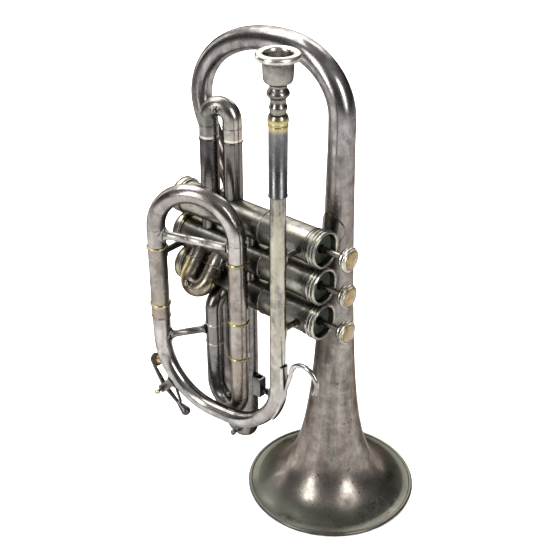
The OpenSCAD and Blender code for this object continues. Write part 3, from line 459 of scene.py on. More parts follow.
def plated(
    name, light, dark, warm, shine=0.2, dull=0.42, tarnish=0.5, pits=0.0, bands=(), brass=0.12,
    grain=UP, drawn=(1, 1, 0.3), dent=0.3, run_share=0.45, tint=TINT, fade=None,
):
    """Silver plate over brass: cloudy tarnish, warm bloom, fine scratches, pits, worn bands, and grime with
    painted shade in crevices.

    light, dark and warm are the clean, tarnished and bloomed colours; shine and dull are the least
    and most roughness. bands are (axis, centre, half width) in millimetres, coloured tint. fade is
    (low height, high height, light, dark), what the plate turns into with height.
    """
    g = Graph(name)
    cloud = g.noise(1.0, 6.0, 0.62, 0.6, g.scaled(*[CLOUD_SCALE * pull for pull in drawn]))
    mottle = g.noise(MOTTLE_SCALE, 6.0, 0.65, 0.3)
    streak = g.noise(1.0, 3.0, 0.6, 0.0, g.scaled(*grain))
    run = g.noise(1.0, 3.0, 0.6, 0.0, g.scaled(*[RUN_TO_GRAIN * pull for pull in grain]))
    fine = g.noise(FINE_SCALE, 2.0, 0.5)
    stain = g.math("ADD", g.math("MULTIPLY", cloud, 0.62), g.math("MULTIPLY", mottle, 0.38))
    shift = 0.12 * (tarnish - 0.5)
    level = g.remap(stain, 0.36 + shift, 0.66 + shift)
    if fade:
        low, high, other_light, other_dark = fade
        rise = g.remap(g.axis("Z"), low * MM, high * MM)
        light = g.mix(rise, light, other_light)
        dark = g.mix(rise, dark, other_dark)
    colour = g.mix(level, dark, light)
    bloom = g.remap(g.noise(BLOOM_SCALE, 4.0, 0.6, 0.8), 0.52, 0.7, 0.0, 0.75)
    colour = g.mix(bloom, colour, warm)
    colour = g.mix(g.remap(streak, 0.56, 0.78, 0.0, 0.35), colour, dark)
    colour = g.mix(g.remap(run, 0.48, 0.62, 0.0, run_share), colour, warm)
    if brass > 0:
        bare = g.remap(g.noise(BARE_SCALE, 7.0, 0.7, 0.5), 0.68 - brass, 0.78 - brass, 0.0, 0.8)
        colour = g.mix(bare, colour, BRASS)
    if bands:
        broken = g.remap(mottle, 0.3, 0.5, 0.45, 1.0)
        colour = g.mix(g.math("MULTIPLY", band_mask(g, bands), broken), colour, tint)
    if pits > 0:
        colour = g.mix(pit_mask(g, pits), colour, PIT)
    # Ambient occlusion marks the crevices: grime and painted shade darken them, and they are made rougher.
    grime_and_shade = g.remap(g.crevice(CREVICE_REACH), 0.35, 0.9, 0.8, 0.0)
    colour = g.mix(grime_and_shade, colour, GRIME_AND_SHADE)
    g.put(g.shader.inputs["Base Color"], colour)
    g.shader.inputs["Metallic"].default_value = 1.0
    g.shader.inputs["Specular Tint"].default_value = EDGE_TINT
    rough = g.math("ADD", g.remap(stain, 0.35, 0.65, dull, shine), g.math("MULTIPLY", grime_and_shade, 0.25))
    rough = g.math("ADD", rough, g.remap(fine, 0.3, 0.7, -0.03, 0.04))
    g.put(g.shader.inputs["Roughness"], rough)
    dents = g.bump(g.noise(DENT_SCALE, 2.0, 0.4), dent, DENT_DEPTH)
    scratch = g.bump(streak, 0.06, SCRATCH_DEPTH, dents)
    g.put(g.shader.inputs["Normal"], g.bump(mottle, 0.08, MOTTLE_DEPTH, scratch))
    return g.material


def pearl_material():
    g = Graph("amber_pearl")
    swirl = g.noise(150.0, 5.0, 0.6, 1.8)
    colour = g.mix(g.remap(swirl, 0.35, 0.7), (0.07, 0.035, 0.004), (0.2, 0.128, 0.02))
    # Painted shade: the pearl darkens where ambient occlusion finds it closed in, round its edge in the
    # button.
    edge = g.remap(g.crevice(0.0015), 0.4, 0.9, 0.55, 0.0)
    g.put(g.shader.inputs["Base Color"], g.mix(edge, colour, (0.06, 0.035, 0.01)))
    g.shader.inputs["Roughness"].default_value = 0.34
    g.shader.inputs["Coat Weight"].default_value = 0.12
    g.shader.inputs["Specular IOR Level"].default_value = 0.3
    g.shader.inputs["Coat Roughness"].default_value = 0.08
    g.shader.inputs["Subsurface Weight"].default_value = 0.12
    g.shader.inputs["Subsurface Radius"].default_value = (0.002, 0.0012, 0.0006)
    g.put(g.shader.inputs["Normal"], g.bump(swirl, 0.12, 0.0002))
    return g.material


def felt_material():
    g = Graph("green_felt")
    fibre = g.noise(2600.0, 6.0, 0.7)
    clump = g.noise(420.0, 3.0, 0.6)
    colour = g.mix(g.remap(fibre, 0.3, 0.7), (0.003, 0.005, 0.002), (0.014, 0.02, 0.009))
    colour = g.mix(g.remap(clump, 0.4, 0.7, 0.0, 0.5), colour, (0.022, 0.02, 0.012))
    g.put(g.shader.inputs["Base Color"], colour)
    g.shader.inputs["Roughness"].default_value = 0.95
    g.shader.inputs["Sheen Weight"].default_value = 0.1
    g.shader.inputs["Specular IOR Level"].default_value = 0.15
    g.put(g.shader.inputs["Normal"], g.bump(fibre, 0.7, 0.0004))
    return g.material


def cork_material():
    g = Graph("key_cork")
    grain = g.noise(900.0, 5.0, 0.7)
    pore = g.remap(g.cells(1300.0), 0.25, 0.1)
    colour = g.mix(g.remap(grain, 0.3, 0.7), (0.05, 0.032, 0.018), (0.14, 0.09, 0.05))
    g.put(g.shader.inputs["Base Color"], g.mix(pore, colour, (0.08, 0.045, 0.025)))
    g.shader.inputs["Roughness"].default_value = 0.85
    g.put(g.shader.inputs["Normal"], g.bump(grain, 0.5, 0.0003))
    return g.material


def steel_material():
    g = Graph("spring_steel")
    wear = g.noise(300.0, 5.0, 0.6)
    colour = g.mix(g.remap(wear, 0.4, 0.7), (0.09, 0.09, 0.1), (0.36, 0.35, 0.34))
    g.put(g.shader.inputs["Base Color"], colour)
    g.shader.inputs["Metallic"].default_value = 1.0
    g.put(g.shader.inputs["Roughness"], g.remap(wear, 0.3, 0.7, 0.4, 0.22))
    g.put(g.shader.inputs["Normal"], g.bump(wear, 0.1, 0.0002))
    return g.material


PURPLE = (0.15, 0.13, 0.124)
BROWN = (0.19, 0.15, 0.11)
OLIVE = (0.2, 0.185, 0.125)
SMOKE = (0.1, 0.086, 0.076)
DUSK = (0.115, 0.096, 0.078)
BOW_LIGHT = (0.22, 0.206, 0.197)
BOW_DARK = (0.058, 0.053, 0.053)

# The band at height 0 darkens the flare towards the rim, near the floor.
bell_silver = plated(
    "bell_silver", (0.195, 0.177, 0.157), (0.052, 0.047, 0.04), (0.13, 0.096, 0.078), 0.24, 0.4,
    pits=1.0, bands=[("Z", 0.0, 11.0)], brass=0.0, tint=(0.056, 0.055, 0.045),
    fade=(100, STEM_TOP, BOW_LIGHT, BOW_DARK),
)
bow_silver = plated(
    "bow_silver", BOW_LIGHT, BOW_DARK, (0.115, 0.099, 0.088), 0.16, 0.32,
    pits=0.25, brass=0.0,
)
lead_silver = plated(
    "lead_silver", (0.33, 0.312, 0.28), (0.06, 0.055, 0.054), OLIVE, 0.14, 0.28,
    brass=0.03, run_share=0.6,
)
receiver_silver = plated(
    "receiver_silver", (0.16, 0.158, 0.157), (0.05, 0.05, 0.054), (0.1, 0.096, 0.092), 0.2, 0.38, 0.55,
    bands=[("Z", RECEIVER_TOP + 1.6, 4.4)], brass=0.0,
)
front_silver = plated(
    "front_silver", (0.31, 0.294, 0.276), (0.085, 0.079, 0.074), PURPLE, 0.12, 0.26, 0.4,
    pits=0.2, brass=0.0,
)
main_silver = plated(
    "main_silver", (0.27, 0.253, 0.235), (0.075, 0.069, 0.063), PURPLE, 0.14, 0.3, 0.45,
    pits=0.2, brass=0.0,
)
sleeve_silver = plated(
    "sleeve_silver", (0.21, 0.192, 0.172), (0.058, 0.052, 0.047), (0.15, 0.12, 0.096), 0.2, 0.38,
    pits=0.2, bands=[("Z", MAIN_MOUTH - 0.6, 1.1), ("Z", RING_Z - 0.4, 1.4), ("Z", RING_Z - 28.5, 1.1)],
    brass=0.03,
)
dark_silver = plated(
    "dark_silver", (0.15, 0.142, 0.134), (0.04, 0.037, 0.035), DUSK, 0.2, 0.38,
    pits=0.2, brass=0.0,
)
return_silver = plated(
    "return_silver", (0.13, 0.124, 0.118), (0.036, 0.034, 0.033), DUSK, 0.18, 0.36,
    pits=0.2, bands=[("Z", height, 0.9) for height in RETURN_RINGS], brass=0.0,
    tint=(0.32, 0.305, 0.26),
)
smoked_silver = plated(
    "smoked_silver", (0.1, 0.096, 0.094), (0.028, 0.026, 0.026), SMOKE, 0.2, 0.36,
    pits=0.3, brass=0.0,
)
casing_silver = plated(
    "casing_silver", (0.18, 0.172, 0.156), (0.034, 0.032, 0.029), (0.125, 0.116, 0.08), 0.24, 0.4,
    pits=0.2, brass=0.02, grain=ALONG_VALVES, drawn=(0.3, 1, 1),
)
cap_silver = plated(
    "cap_silver", (0.34, 0.325, 0.29), (0.05, 0.047, 0.042), OLIVE, 0.16, 0.36, 0.45,
    brass=0.03, dent=0.1,
)
crook_silver = plated(
    "crook_silver", (0.23, 0.218, 0.202), (0.06, 0.056, 0.052), BROWN, 0.16, 0.34,
    bands=[("Z", FIRST_MOUTH + 0.5, 1.3)], brass=0.03, tint=(0.33, 0.315, 0.26),
)
worn_brass = plated(
    "worn_brass", (0.17, 0.156, 0.134), (0.04, 0.036, 0.032), (0.13, 0.112, 0.08), 0.18, 0.38,
    bands=[("X", -92.5, 8.0)], brass=0.09, tint=BRASS,
)
bright_silver = plated(
    "bright_silver", (0.45, 0.425, 0.38), (0.1, 0.094, 0.086), (0.33, 0.285, 0.18), 0.14, 0.3, 0.4,
    brass=0.04, grain=ALONG_VALVES, dent=0.1,
)
mouth_silver = plated(
    "mouth_silver", (0.19, 0.181, 0.165), (0.045, 0.042, 0.038), (0.16, 0.143, 0.105), 0.16, 0.34,
    bands=[("Z", MOUTH_TOP - 1.5, 3.4)], brass=0.06, grain=TURNED, dent=0.15, tint=(0.33, 0.314, 0.278),
)
stay_silver = plated(
    "stay_silver", (0.34, 0.325, 0.3), (0.14, 0.132, 0.122), PURPLE, 0.26, 0.4, 0.4,
    brass=0.0, grain=ALONG_VALVES, dent=0.05,
)
# Painted shade: near-black, for the inside of the top caps' recesses.
recess_shade_silver = plated(
    "recess_shade_silver", (0.03, 0.034, 0.026), (0.01, 0.012, 0.009), (0.024, 0.028, 0.017), 0.3, 0.5,
    brass=0.0,
)
pearl_mat = pearl_material()
felt_mat = felt_material()
cork_mat = cork_material()
steel_mat = steel_material()

# ---- bell ---------------------------------------------------------------------------------------


def horn_in(z):
    """The bell's inner radius at a height."""
    return (RIM_R - ROLL_R) * (HORN_LENGTH / (z + HORN_LENGTH)) ** HORN_POWER


def horn_out(z):
    """The bell's outer radius at a height."""
    slope = HORN_POWER * horn_in(z) / (z + HORN_LENGTH)
    return horn_in(z) + BELL_WALL * math.sqrt(1 + slope * slope)


def make_bell():
    """The flare and stem, both sides of the metal, joined by the edge rolled round the rim wire."""
    steps, roll_steps, segments = 90, 26, 160
    heights = [STEM_TOP * (k / steps) ** 2.2 for k in range(steps + 1)]
    inside = [(horn_in(z), z) for z in heights if z > 0.9]
    outside = [(horn_out(z), z) for z in heights if z > 2.2]
    roll = []
    for k in range(roll_steps + 1):
        a = math.radians(ROLL_START + ROLL_TURN * k / roll_steps)
        roll.append((RIM_R - EDGE_R + EDGE_R * math.cos(a), EDGE_R + EDGE_R * math.sin(a)))
    shape = lathe(inside[::-1] + roll + outside, up(0, 0), segments)
    bell = add_object("bell_skin", shape, bell_silver, BODY, 60)
    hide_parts("bell")
    shape = torus(up(0, 0, EDGE_R), RIM_R - EDGE_R, EDGE_R * 0.7, 12, segments)
    wire = add_object("rim_wire_skin", shape, worn_brass, BODY)
    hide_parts("rim_wire")


make_bell()

# ---- bell bow -----------------------------------------------------------------------------------


def bell_bow_path():
    """Up from the bell's stem, over the crown, down the far side and into the first valve."""
    near_steps, far_steps, tail_steps = 36, 40, 40
    pitch = math.radians(TAIL_PITCH)
    out = Vector((0, math.cos(pitch), math.sin(pitch)))
    end = Vector((TAIL_X, VALVE_Y, valve_z(1))) + out * (CASING_LOW_R + TAIL_STUB)
    path = [Vector((0, 0, STEM_TOP + 0.02))]
    for k in range(near_steps + 1):
        a = math.pi / 2 * k / near_steps
        height = BOW_SPRING + (BOW_CROWN - BOW_SPRING) * math.sin(a)
        path.append(Vector((-BOW_NEAR * (1 - math.cos(a)), 0, height)))
    for k in range(1, far_steps + 1):
        a = math.pi / 2 * k / far_steps
        path.append(Vector((
            -BOW_NEAR - BOW_FAR * math.sin(a) ** BOW_FULLNESS,
            -BOW_DRIFT * math.sin(a / 2) ** 2 * 2,
            BOW_FALL + (BOW_CROWN - BOW_FALL) * max(math.cos(a), 0.0) ** BOW_FULLNESS,
        )))
    far = path[-1].copy()
    control = [far, far - Vector((0, BOW_DRIFT * 0.4, TAIL_DROP)), end + out * TAIL_LEAD, end]
    for k in range(1, tail_steps + 1):
        t = k / tail_steps
        u = 1 - t
        path.append(
            control[0] * u ** 3 + control[1] * 3 * u * u * t
            + control[2] * 3 * u * t * t + control[3] * t ** 3
        )
    path.append(end - out * TAIL_LIP)
    return path


def smoothed(path, passes=3):
    """Evens out a path's small changes of direction, keeping its ends."""
    for _ in range(passes):
        path = [path[0]] + [
            path[k] * 0.5 + (path[k - 1] + path[k + 1]) * 0.25 for k in range(1, len(path) - 1)
        ] + [path[-1]]
    return path


def make_bell_bow():
    path = smoothed(bell_bow_path())
    last = len(path) - 1
    outer = [TAIL_R + (horn_out(STEM_TOP) - TAIL_R) * (1 - k / last) ** 1.5 for k in range(last + 1)]
    inner = [r - BELL_WALL for r in outer]
    shape = sweep(path, outer, inner, (0, 1, 0))
    bow = add_object("bell_bow_skin", shape, bow_silver, BODY)
    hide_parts("bell_bow")


make_bell_bow()

# ---- leadpipe, receiver, front bow --------------------------------------------------------------


def make_front_bow():
    """The low bow from the leadpipe round to the tuning slide's left leg."""
    bend_steps, leg_steps = 40, 6
    span = (LEAD - LEFT).length
    place = frame_at(LEAD, (0, 0, 1), (LEAD - LEFT).normalized())
    lead_low = FRONT_LOW + FRONT_LEAD_BEND
    path = [Vector((0, 0, lead_low + 1.5))]
    for k in range(bend_steps + 1):
        a = math.pi / 2 * k / bend_steps
        height = lead_low - FRONT_LEAD_BEND * math.sin(a)
        path.append(Vector((FRONT_LEAD_BEND * (math.cos(a) - 1), 0, height)))
    for k in range(bend_steps + 1):
        a = math.pi / 2 * k / bend_steps
        path.append(Vector((
            -span + FRONT_SLIDE_BEND * (1 - math.sin(a)), 0,
            FRONT_LOW + FRONT_SLIDE_BEND * (1 - math.cos(a)),
        )))
    rise = FRONT_TOP - FRONT_LOW - FRONT_SLIDE_BEND
    for k in range(1, leg_steps + 1):
        path.append(Vector((-span, 0, FRONT_LOW + FRONT_SLIDE_BEND + rise * k / leg_steps)))
    path = smoothed([place @ p for p in path], 2)
    last = len(path) - 1
    outer = [LEAD_LOW_R + (CROOK_R - LEAD_LOW_R) * (k / last) ** 3 for k in range(last + 1)]
    inner = [r - WALL - 0.2 for r in outer]
    shape = sweep(path, outer, inner, (0, 1, 0))
    bow = add_object("front_bow_skin", shape, front_silver, BODY)
    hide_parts("front_bow")


make_front_bow()


def make_receiver():
    """The sleeve with a lip at its foot, two beads and a ball ferrule that the mouthpiece goes into."""
    low, top, r = RECEIVER_LOW, RECEIVER_TOP, RECEIVER_R
    socket_r = LEAD_TOP_R + 0.08
    profile = [(socket_r, low), (r + 0.2, low), (r + 0.28, low + 0.5)]
    profile += [(r + 0.2, low + 1.1), (r, low + 1.3), (r, top - 0.4)]
    for z in (top + 0.2, top + 2.0):
        profile += bead_points(r, z, 0.46)
    centre, arc_low, arc_high, arc_steps = top + 3.7, -16, 30, 14
    for k in range(arc_steps + 1):
        a = math.radians(arc_low + (arc_high - arc_low) * k / arc_steps)
        profile.append((RECEIVER_BALL_R * math.cos(a), centre + RECEIVER_BALL_R * math.sin(a)))
    profile += [(RECEIVER_BORE, top + 6.75), (RECEIVER_BORE, low + 10.2), (socket_r, low + 10.1)]
    shape = lathe(profile, up(LEAD.x, LEAD.y), 96)
    piece = add_object("receiver_skin", shape, receiver_silver, BODY, 50)
    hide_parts("receiver")


make_receiver()


def make_mouthpiece():
    """Turned in one: rim, cup, the beads of its stem and the tapered shank."""
    top = MOUTH_TOP
    shank_end = RECEIVER_TOP - SHANK_LENGTH
    outline = [
        (8.9, top - MOUTH_RIM_HEIGHT - 0.2), (9.0, top - 6.5), (8.85, top - 11), (8.5, top - 15.4),
        (7.9, top - 16.8), (6.6, top - 17.6), (5.2, top - 18.3), (4.95, top - 19.4),
        (5.15, top - 20.6), (6.2, top - 22.0), (6.6, top - 23.2), (6.55, top - 24.0),
        (6.0, top - 25.0), (4.75, top - 26.2), (4.4, top - 27.4), (4.45, top - 28.6),
        (4.8, top - 30.0), (5.3, top - 31.0), (5.35, top - 31.8), (4.9, top - 32.9),
        (4.4, top - 35.4), (4.35, RECEIVER_TOP), (3.85, shank_end),
    ]
    rim_r = MOUTH_RIM_HEIGHT / 2
    rim_c = MOUTH_RIM_R - rim_r
    rim_steps, cup_steps = 16, 12
    rim = []
    for k in range(rim_steps + 1):
        a = math.radians(-100 + 180 * k / rim_steps)
        rim.append((rim_c + rim_r * math.cos(a), top - rim_r + rim_r * math.sin(a)))
    rim += [(10.2, top - 0.06), (9.5, top - 0.22), (8.8, top - 0.5)]
    rim += [(8.3, top - 0.95), (8.05, top - 1.6)]
    cup = []
    for k in range(1, cup_steps + 1):
        a = math.radians(76 * k / cup_steps)
        cup.append((CUP_R * math.cos(a) ** 0.6, top - 1.6 - CUP_DEPTH * math.sin(a)))
    bore = [(1.9, top - 12.6), (1.85, top - 18), (3.2, shank_end)]
    profile = rounded([Vector(p) for p in outline[::-1]], 0.5) + [Vector(p) for p in rim + cup + bore]
    shape = lathe([tuple(p) for p in profile], up(LEAD.x, LEAD.y), 112)
    piece = add_object("mouthpiece_skin", shape, mouth_silver, "mouthpiece", 50)
    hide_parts("mouthpiece")


make_mouthpiece()

# ---- slides -------------------------------------------------------------------------------------


def half_turn(span, spring, steps=48):
    """Points over a bow, from -X to +X, in the local XZ plane."""
    angles = [math.pi - math.pi * k / steps for k in range(steps + 1)]
    return [Vector((span / 2 * math.cos(a), 0, spring + span / 2 * math.sin(a))) for a in angles]


def u_path(span, spring, low, leg_steps=8):
    """Up one leg, over the bow and down the other leg."""
    shares = [k / leg_steps for k in range(leg_steps)]
    path = [Vector((-span / 2, 0, low + (spring - low) * t)) for t in shares]
    path += half_turn(span, spring)
    path += [Vector((span / 2, 0, low + (spring - low) * t)) for t in shares[::-1]]
    return path


def knob(place, crown):
    """Pull knob: a waisted stem and a small turned ball, pointing along local -Y."""
    local = place @ frame_at((0, 0, crown), (0, -1, 0))
    stem = [
        (0.0, CROOK_R - 0.3), (2.3, CROOK_R - 0.25), (1.75, CROOK_R + 0.4), (1.15, CROOK_R + 1.0),
        (1.05, KNOB_REACH - 2.4), (1.5, KNOB_REACH - 2.1), (1.5, KNOB_REACH - 1.7), (1.1, KNOB_REACH - 1.5),
        (0.0, KNOB_REACH - 1.4),
    ]
    centre = local @ Matrix.Translation((0, 0, KNOB_REACH))
    return joined(lathe(stem, local, 32, closed=False), ball(centre, KNOB_R))


def crook(
    name, node, place, mouth, spring, inner, material, body, seams,
    has_knob=True, span=CROOK_SPAN,
):
    """A slide: its bow, two inner legs, thin rings at the seams, and a knob."""
    path = [place @ p for p in u_path(span, spring, mouth + JOINT_GAP)]
    count = len(path)
    normal = place.to_3x3() @ Vector((0, 1, 0))
    parts = [sweep(path, [CROOK_R] * count, [BORE_R] * count, normal, 64)]
    for side in (-1, 1):
        leg = place @ Matrix.Translation((side * span / 2, 0, 0))
        parts.append(lathe(tube_profile(INNER_R, BORE_R, mouth - inner, mouth + JOINT_GAP), leg, 64))
        for z in seams:
            parts.append(torus(leg @ Matrix.Translation((0, 0, z)), CROOK_R, SEAM_R, 10, 64))
    if has_knob:
        parts.append(knob(place, spring + span / 2))
    shape = joined(*parts)
    piece = add_object(name, shape, material, body)
    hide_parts(node)


def make_first_slide():
    place = Matrix.Translation((FIRST_X, VALVE_Y, 0)) @ Matrix.Rotation(MAIN_YAW, 4, "Z")
    crook(
        "first_slide_skin", "first_slide", place, FIRST_MOUTH, FIRST_SPRING, FIRST_INNER,
        crook_silver, "first_slide", FIRST_SEAMS,
    )


def make_second_slide():
    """Its legs point outward and down from the second valve."""
    place = (
        Matrix.Translation((SECOND_X, VALVE_Y, valve_z(2)))
        @ Matrix.Rotation(math.pi / 2 + SECOND_PITCH, 4, "X")
        @ Matrix.Translation((0, SECOND_OFFSET, 0))
        @ Matrix.Rotation(math.pi, 4, "Z")
    )
    crook(
        "second_slide_skin", "second_slide", place, SECOND_MOUTH, SECOND_SPRING, SECOND_INNER,
        worn_brass, "second_slide", SECOND_SEAMS,
    )


def make_third_slide():
    """It hangs bow down, so its heights are negative in its own place."""
    place = (
        Matrix.Translation((THIRD_X, THIRD_Y, 0))
        @ Matrix.Rotation(math.pi, 4, "X")
        @ Matrix.Rotation(math.pi, 4, "Z")
    )
    crook(
        "third_slide_skin", "third_slide", place, -THIRD_MOUTH, -THIRD_SPRING, THIRD_INNER,
        dark_silver, "third_slide", THIRD_SEAMS,
    )


def make_main_slide():
    place = Matrix.Translation((RIGHT + LEFT) / 2) @ Matrix.Rotation(MAIN_YAW, 4, "Z")
    crook(
        "main_slide_skin", "main_slide", place, MAIN_MOUTH, MAIN_SPRING, MAIN_INNER,
        main_silver, "main_slide", MAIN_SEAMS, has_knob=False, span=MAIN_SPAN,
    )


make_first_slide()
make_second_slide()
make_third_slide()
make_main_slide()


def return_middle(share):
    """The point at a share of the way from the right leg to the return tube's foot."""
    across = Vector((math.cos(RETURN_YAW), math.sin(RETURN_YAW), 0))
    return RIGHT - across * RETURN_SPAN * share


def make_return_bow():
    middle = return_middle(0.5)
    place = (
        Matrix.Translation((middle.x, middle.y, RETURN_JOINT))
        @ Matrix.Rotation(RETURN_YAW, 4, "Z")
        @ Matrix.Rotation(math.pi, 4, "X")
    )
    path = [place @ p for p in half_turn(RETURN_SPAN, 0.0)]
    count = len(path)
    normal = place.to_3x3() @ Vector((0, 1, 0))
    shape = sweep(path, [RETURN_R] * count, [BORE_R] * count, normal)
    bow = add_object("return_bow_skin", shape, dark_silver, BODY)
    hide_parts("return_bow")


make_return_bow()


def make_main_sleeves():
    """The tuning slide's two fixed sleeves with their rings."""
    lower = tube_profile(
        SLEEVE_R, SLEEVE_R - WALL, FRONT_TOP + JOINT_GAP, MAIN_MOUTH,
        [(MAIN_MOUTH - 0.7, BEAD), (RING_Z, BEAD), (FRONT_TOP + 1.0, BEAD / 2)],
    )
    shape = lathe(lower, up(LEFT.x, LEFT.y), 80)
    piece = add_object("lower_sleeve_skin", shape, sleeve_silver, BODY)
    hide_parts("lower_slide_sleeve")
    low = RING_Z - SLEEVE_STEP
    upper = [(BORE_R, RETURN_JOINT + JOINT_GAP), (RETURN_R, RETURN_JOINT + JOINT_GAP)]
    upper += [(RETURN_R, low), (SLEEVE_R, low)]
    for z in (low + 0.3, RING_Z - 1.0, MAIN_MOUTH - 0.7):
        upper += bead_points(SLEEVE_R, z, BEAD)
    upper += [(SLEEVE_R, MAIN_MOUTH - 0.1), (SLEEVE_R - WALL, MAIN_MOUTH)]
    upper += [(SLEEVE_R - WALL, SLEEVE_STOP), (BORE_R, SLEEVE_STOP)]
    shape = lathe(upper, up(RIGHT.x, RIGHT.y), 80)
    piece = add_object("upper_sleeve_skin", shape, sleeve_silver, BODY)
    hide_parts("upper_slide_sleeve")


make_main_sleeves()

# ---- valves -------------------------------------------------------------------------------------


def on_valve(i):
    """A place on a valve's axis, its Z towards the button."""
    return frame_at((0, VALVE_Y, valve_z(i)), (1, 0, 0), (0, 0, -1))


def top_cap(i):
    """Three beads round the outside and a deep open recess with a hole for the stem."""
    low = CASING_TOP + 0.02
    outline = [(9.6, low), (CAP_R - 0.9, low), (CAP_R - 0.4, low + 0.5)]
    for k in range(3):
        outline += bead_points(CAP_R - 0.45, low + 1.65 + k * 2.3, 0.55, 8)
    outline += [(CAP_R - 0.45, low + 6.6), (CAP_R - 0.9, low + 7.0), (CAP_R - 1.5, low + 6.9)]
    outline += [(CAP_R - 1.9, low + 6.4), (CAP_R - 1.9, low + 1.9), (CAP_R - 2.3, low + 1.5)]
    outline += [(STEM_R + 0.3, low + 1.5)]
    outline += [(STEM_R + 0.3, low - 1.0), (8.2, low - 1.0), (8.2, low - 4.0), (9.55, low - 4.0)]
    return lathe(outline, on_valve(i), 88)


def bottom_cap(i):
    """Two beads round the outside, rings turned in its face and a vent hole."""
    high = CASING_LOW - 0.02
    outline = [(9.9, high), (CAP_R - 0.5, high), (CAP_R - 0.4, high - 0.7)]
    for z in (high - 1.5, high - 5.6):
        outline += bead_points(CAP_R - 0.4, z, 0.6, 8)[::-1]
    outline += [(CAP_R - 0.5, high - 6.6), (CAP_R - 1.3, high - 7.1)]
    outline += [(10.2, high - 7.3), (9.9, high - 7.0), (9.4, high - 7.05), (8.7, high - 7.6)]
    outline += [(6.2, high - 8.1), (5.9, high - 7.8), (5.5, high - 7.8), (5.1, high - 8.15)]
    outline += [(2.2, high - 8.2), (1.7, high - 8.0)]
    outline += [(1.6, high - 5.5), (9.9, high - 5.5)]
    return lathe(outline, on_valve(i), 88)


def paint_recess_shade(caps):
    """The inside of each top cap is given a near-black colour: painted shade in its deep recess."""
    caps.materials.append(recess_shade_silver)
    for polygon in caps.polygons:
        centre = polygon.center / MM
        nearest = min(math.hypot(centre.y - VALVE_Y, centre.z - valve_z(i)) for i in VALVES)
        if nearest < CAP_R - 1.8:
            polygon.material_index = 1


def make_caps():
    shape = joined(*[top_cap(i) for i in VALVES])
    caps = add_object("top_caps_skin", shape, cap_silver, BODY, 50)
    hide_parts("top_caps")
    paint_recess_shade(caps.data)
    shape = joined(*[bottom_cap(i) for i in VALVES])
    caps = add_object("bottom_caps_skin", shape, cap_silver, BODY, 50)
    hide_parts("bottom_caps")


def make_cap_felt(i):
    """Felt ring that the button lands on, deep in the cap."""
    low = CASING_TOP + 1.6
    outline = [(3.2, low), (9.8, low), (9.9, low + 1.2), (9.4, low + 1.5)]
    outline += [(3.6, low + 1.5), (3.2, low + 1.2)]
    shape = lathe(outline, on_valve(i), 64)
    add_object(f"cap_felt_{i}", shape, felt_mat, BODY)


def make_button(i):
    """The turned metal button and the pearl domed in its face."""
    face, r = BUTTON_FACE, BUTTON_R
    ring_steps, dome_steps = 10, 9
    outline = [
        (STEM_R, face - 5.2), (r - 2.2, face - 5.2), (r - 1.6, face - 4.8), (r - 1.7, face - 4.2),
        (r - 1.1, face - 3.8), (r - 0.6, face - 3.2), (r - 0.9, face - 2.9),
    ]
    for k in range(ring_steps + 1):
        a = math.radians(-90 + 180 * k / ring_steps)
        outline.append((r - 0.85 + 0.85 * math.cos(a), face - 1.75 + 0.95 * math.sin(a)))
    outline += [(r - 1.2, face - 0.75), (r - 1.3, face - 0.35)]
    outline += [(PEARL_R + 0.35, face - 0.2), (PEARL_R + 0.06, face - 0.5)]
    outline += [(PEARL_R + 0.06, face - 1.6), (STEM_R, face - 1.6)]
    shape = lathe(outline, on_valve(i), 80)
    skin = add_object(f"button_skin_{i}", shape, bright_silver, f"valve_{i}", 50)
    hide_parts(f"button_{i}")
    dome = [(0.0, face - 1.6), (PEARL_R, face - 1.6), (PEARL_R, face - 0.35)]
    for k in range(1, dome_steps):
        a = math.pi / 2 * k / dome_steps
        dome.append((PEARL_R * math.cos(a), face - 0.35 + 0.55 * math.sin(a)))
    dome.append((0.0, face - 0.35 + 0.55))
    shape = lathe(dome, on_valve(i), 72, closed=False)
    piece = add_object(f"pearl_skin_{i}", shape, pearl_mat, f"valve_{i}")
    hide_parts(f"pearl_{i}")


def make_felt(i):
    """The felt washer under a button."""
    low = BUTTON_FACE - 6.4
    ring = [(STEM_R + 0.1, low), (5.6, low), (6.0, low + 0.3), (6.0, low + 0.9)]
    ring += [(5.7, low + 1.18), (STEM_R + 0.1, low + 1.18)]
    shape = lathe(ring, on_valve(i), 56)
    piece = add_object(f"felt_skin_{i}", shape, felt_mat, f"valve_{i}")
    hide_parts(f"felt_{i}")


def make_spring(i):
    """A coil round the valve's axis, its turns evenly spaced from its foot to its head."""
    low, high, r = SPRING_LOW, SPRING_HIGH, SPRING_R
    turn_steps = 28
    last = SPRING_TURNS * turn_steps
    place = on_valve(i)
    path = []
    for k in range(last + 1):
        a = 2 * math.pi * k / turn_steps
        height = low + (high - low) * k / last
        path.append(place @ Vector((r * math.cos(a), r * math.sin(a), height)))
    shape = sweep(path, [SPRING_WIRE_R] * len(path), None, (0, 0, -1), 10)
    spring = add_object(f"valve_spring_skin_{i}", shape, steel_mat, BODY)
    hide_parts(f"valve_spring_{i}")
    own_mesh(spring)


make_caps()
for number in VALVES:
    make_cap_felt(number)
    make_button(number)
    make_felt(number)
    make_spring(number)

# ---- stays with flared feet and pointed saddles -------------------------------------------------


def stay_rod(start, end, r, collars):
    """A turned rod between two points, flared into its feet, with collars at shares of its length."""
    long = (end - start).length
    place = frame_at(start, end - start, (0, 0, 1))
    shape = [(0.0, 0.0), (r * 1.45, 0.0), (r * 1.3, 0.8), (r * 1.05, 2.2), (r, 3.4)]
    for share in collars:
        z = long * share
        shape += [(r, z - 0.9), (r * 1.06, z - 0.6), (r * 0.94, z - 0.2)]
        shape += [(r * 0.94, z + 0.2), (r * 1.06, z + 0.6), (r, z + 0.9)]
    shape += [(r, long - 3.4), (r * 1.05, long - 2.2), (r * 1.3, long - 0.8), (r * 1.45, long), (0.0, long)]
    return lathe(shape, place, 40, closed=False)


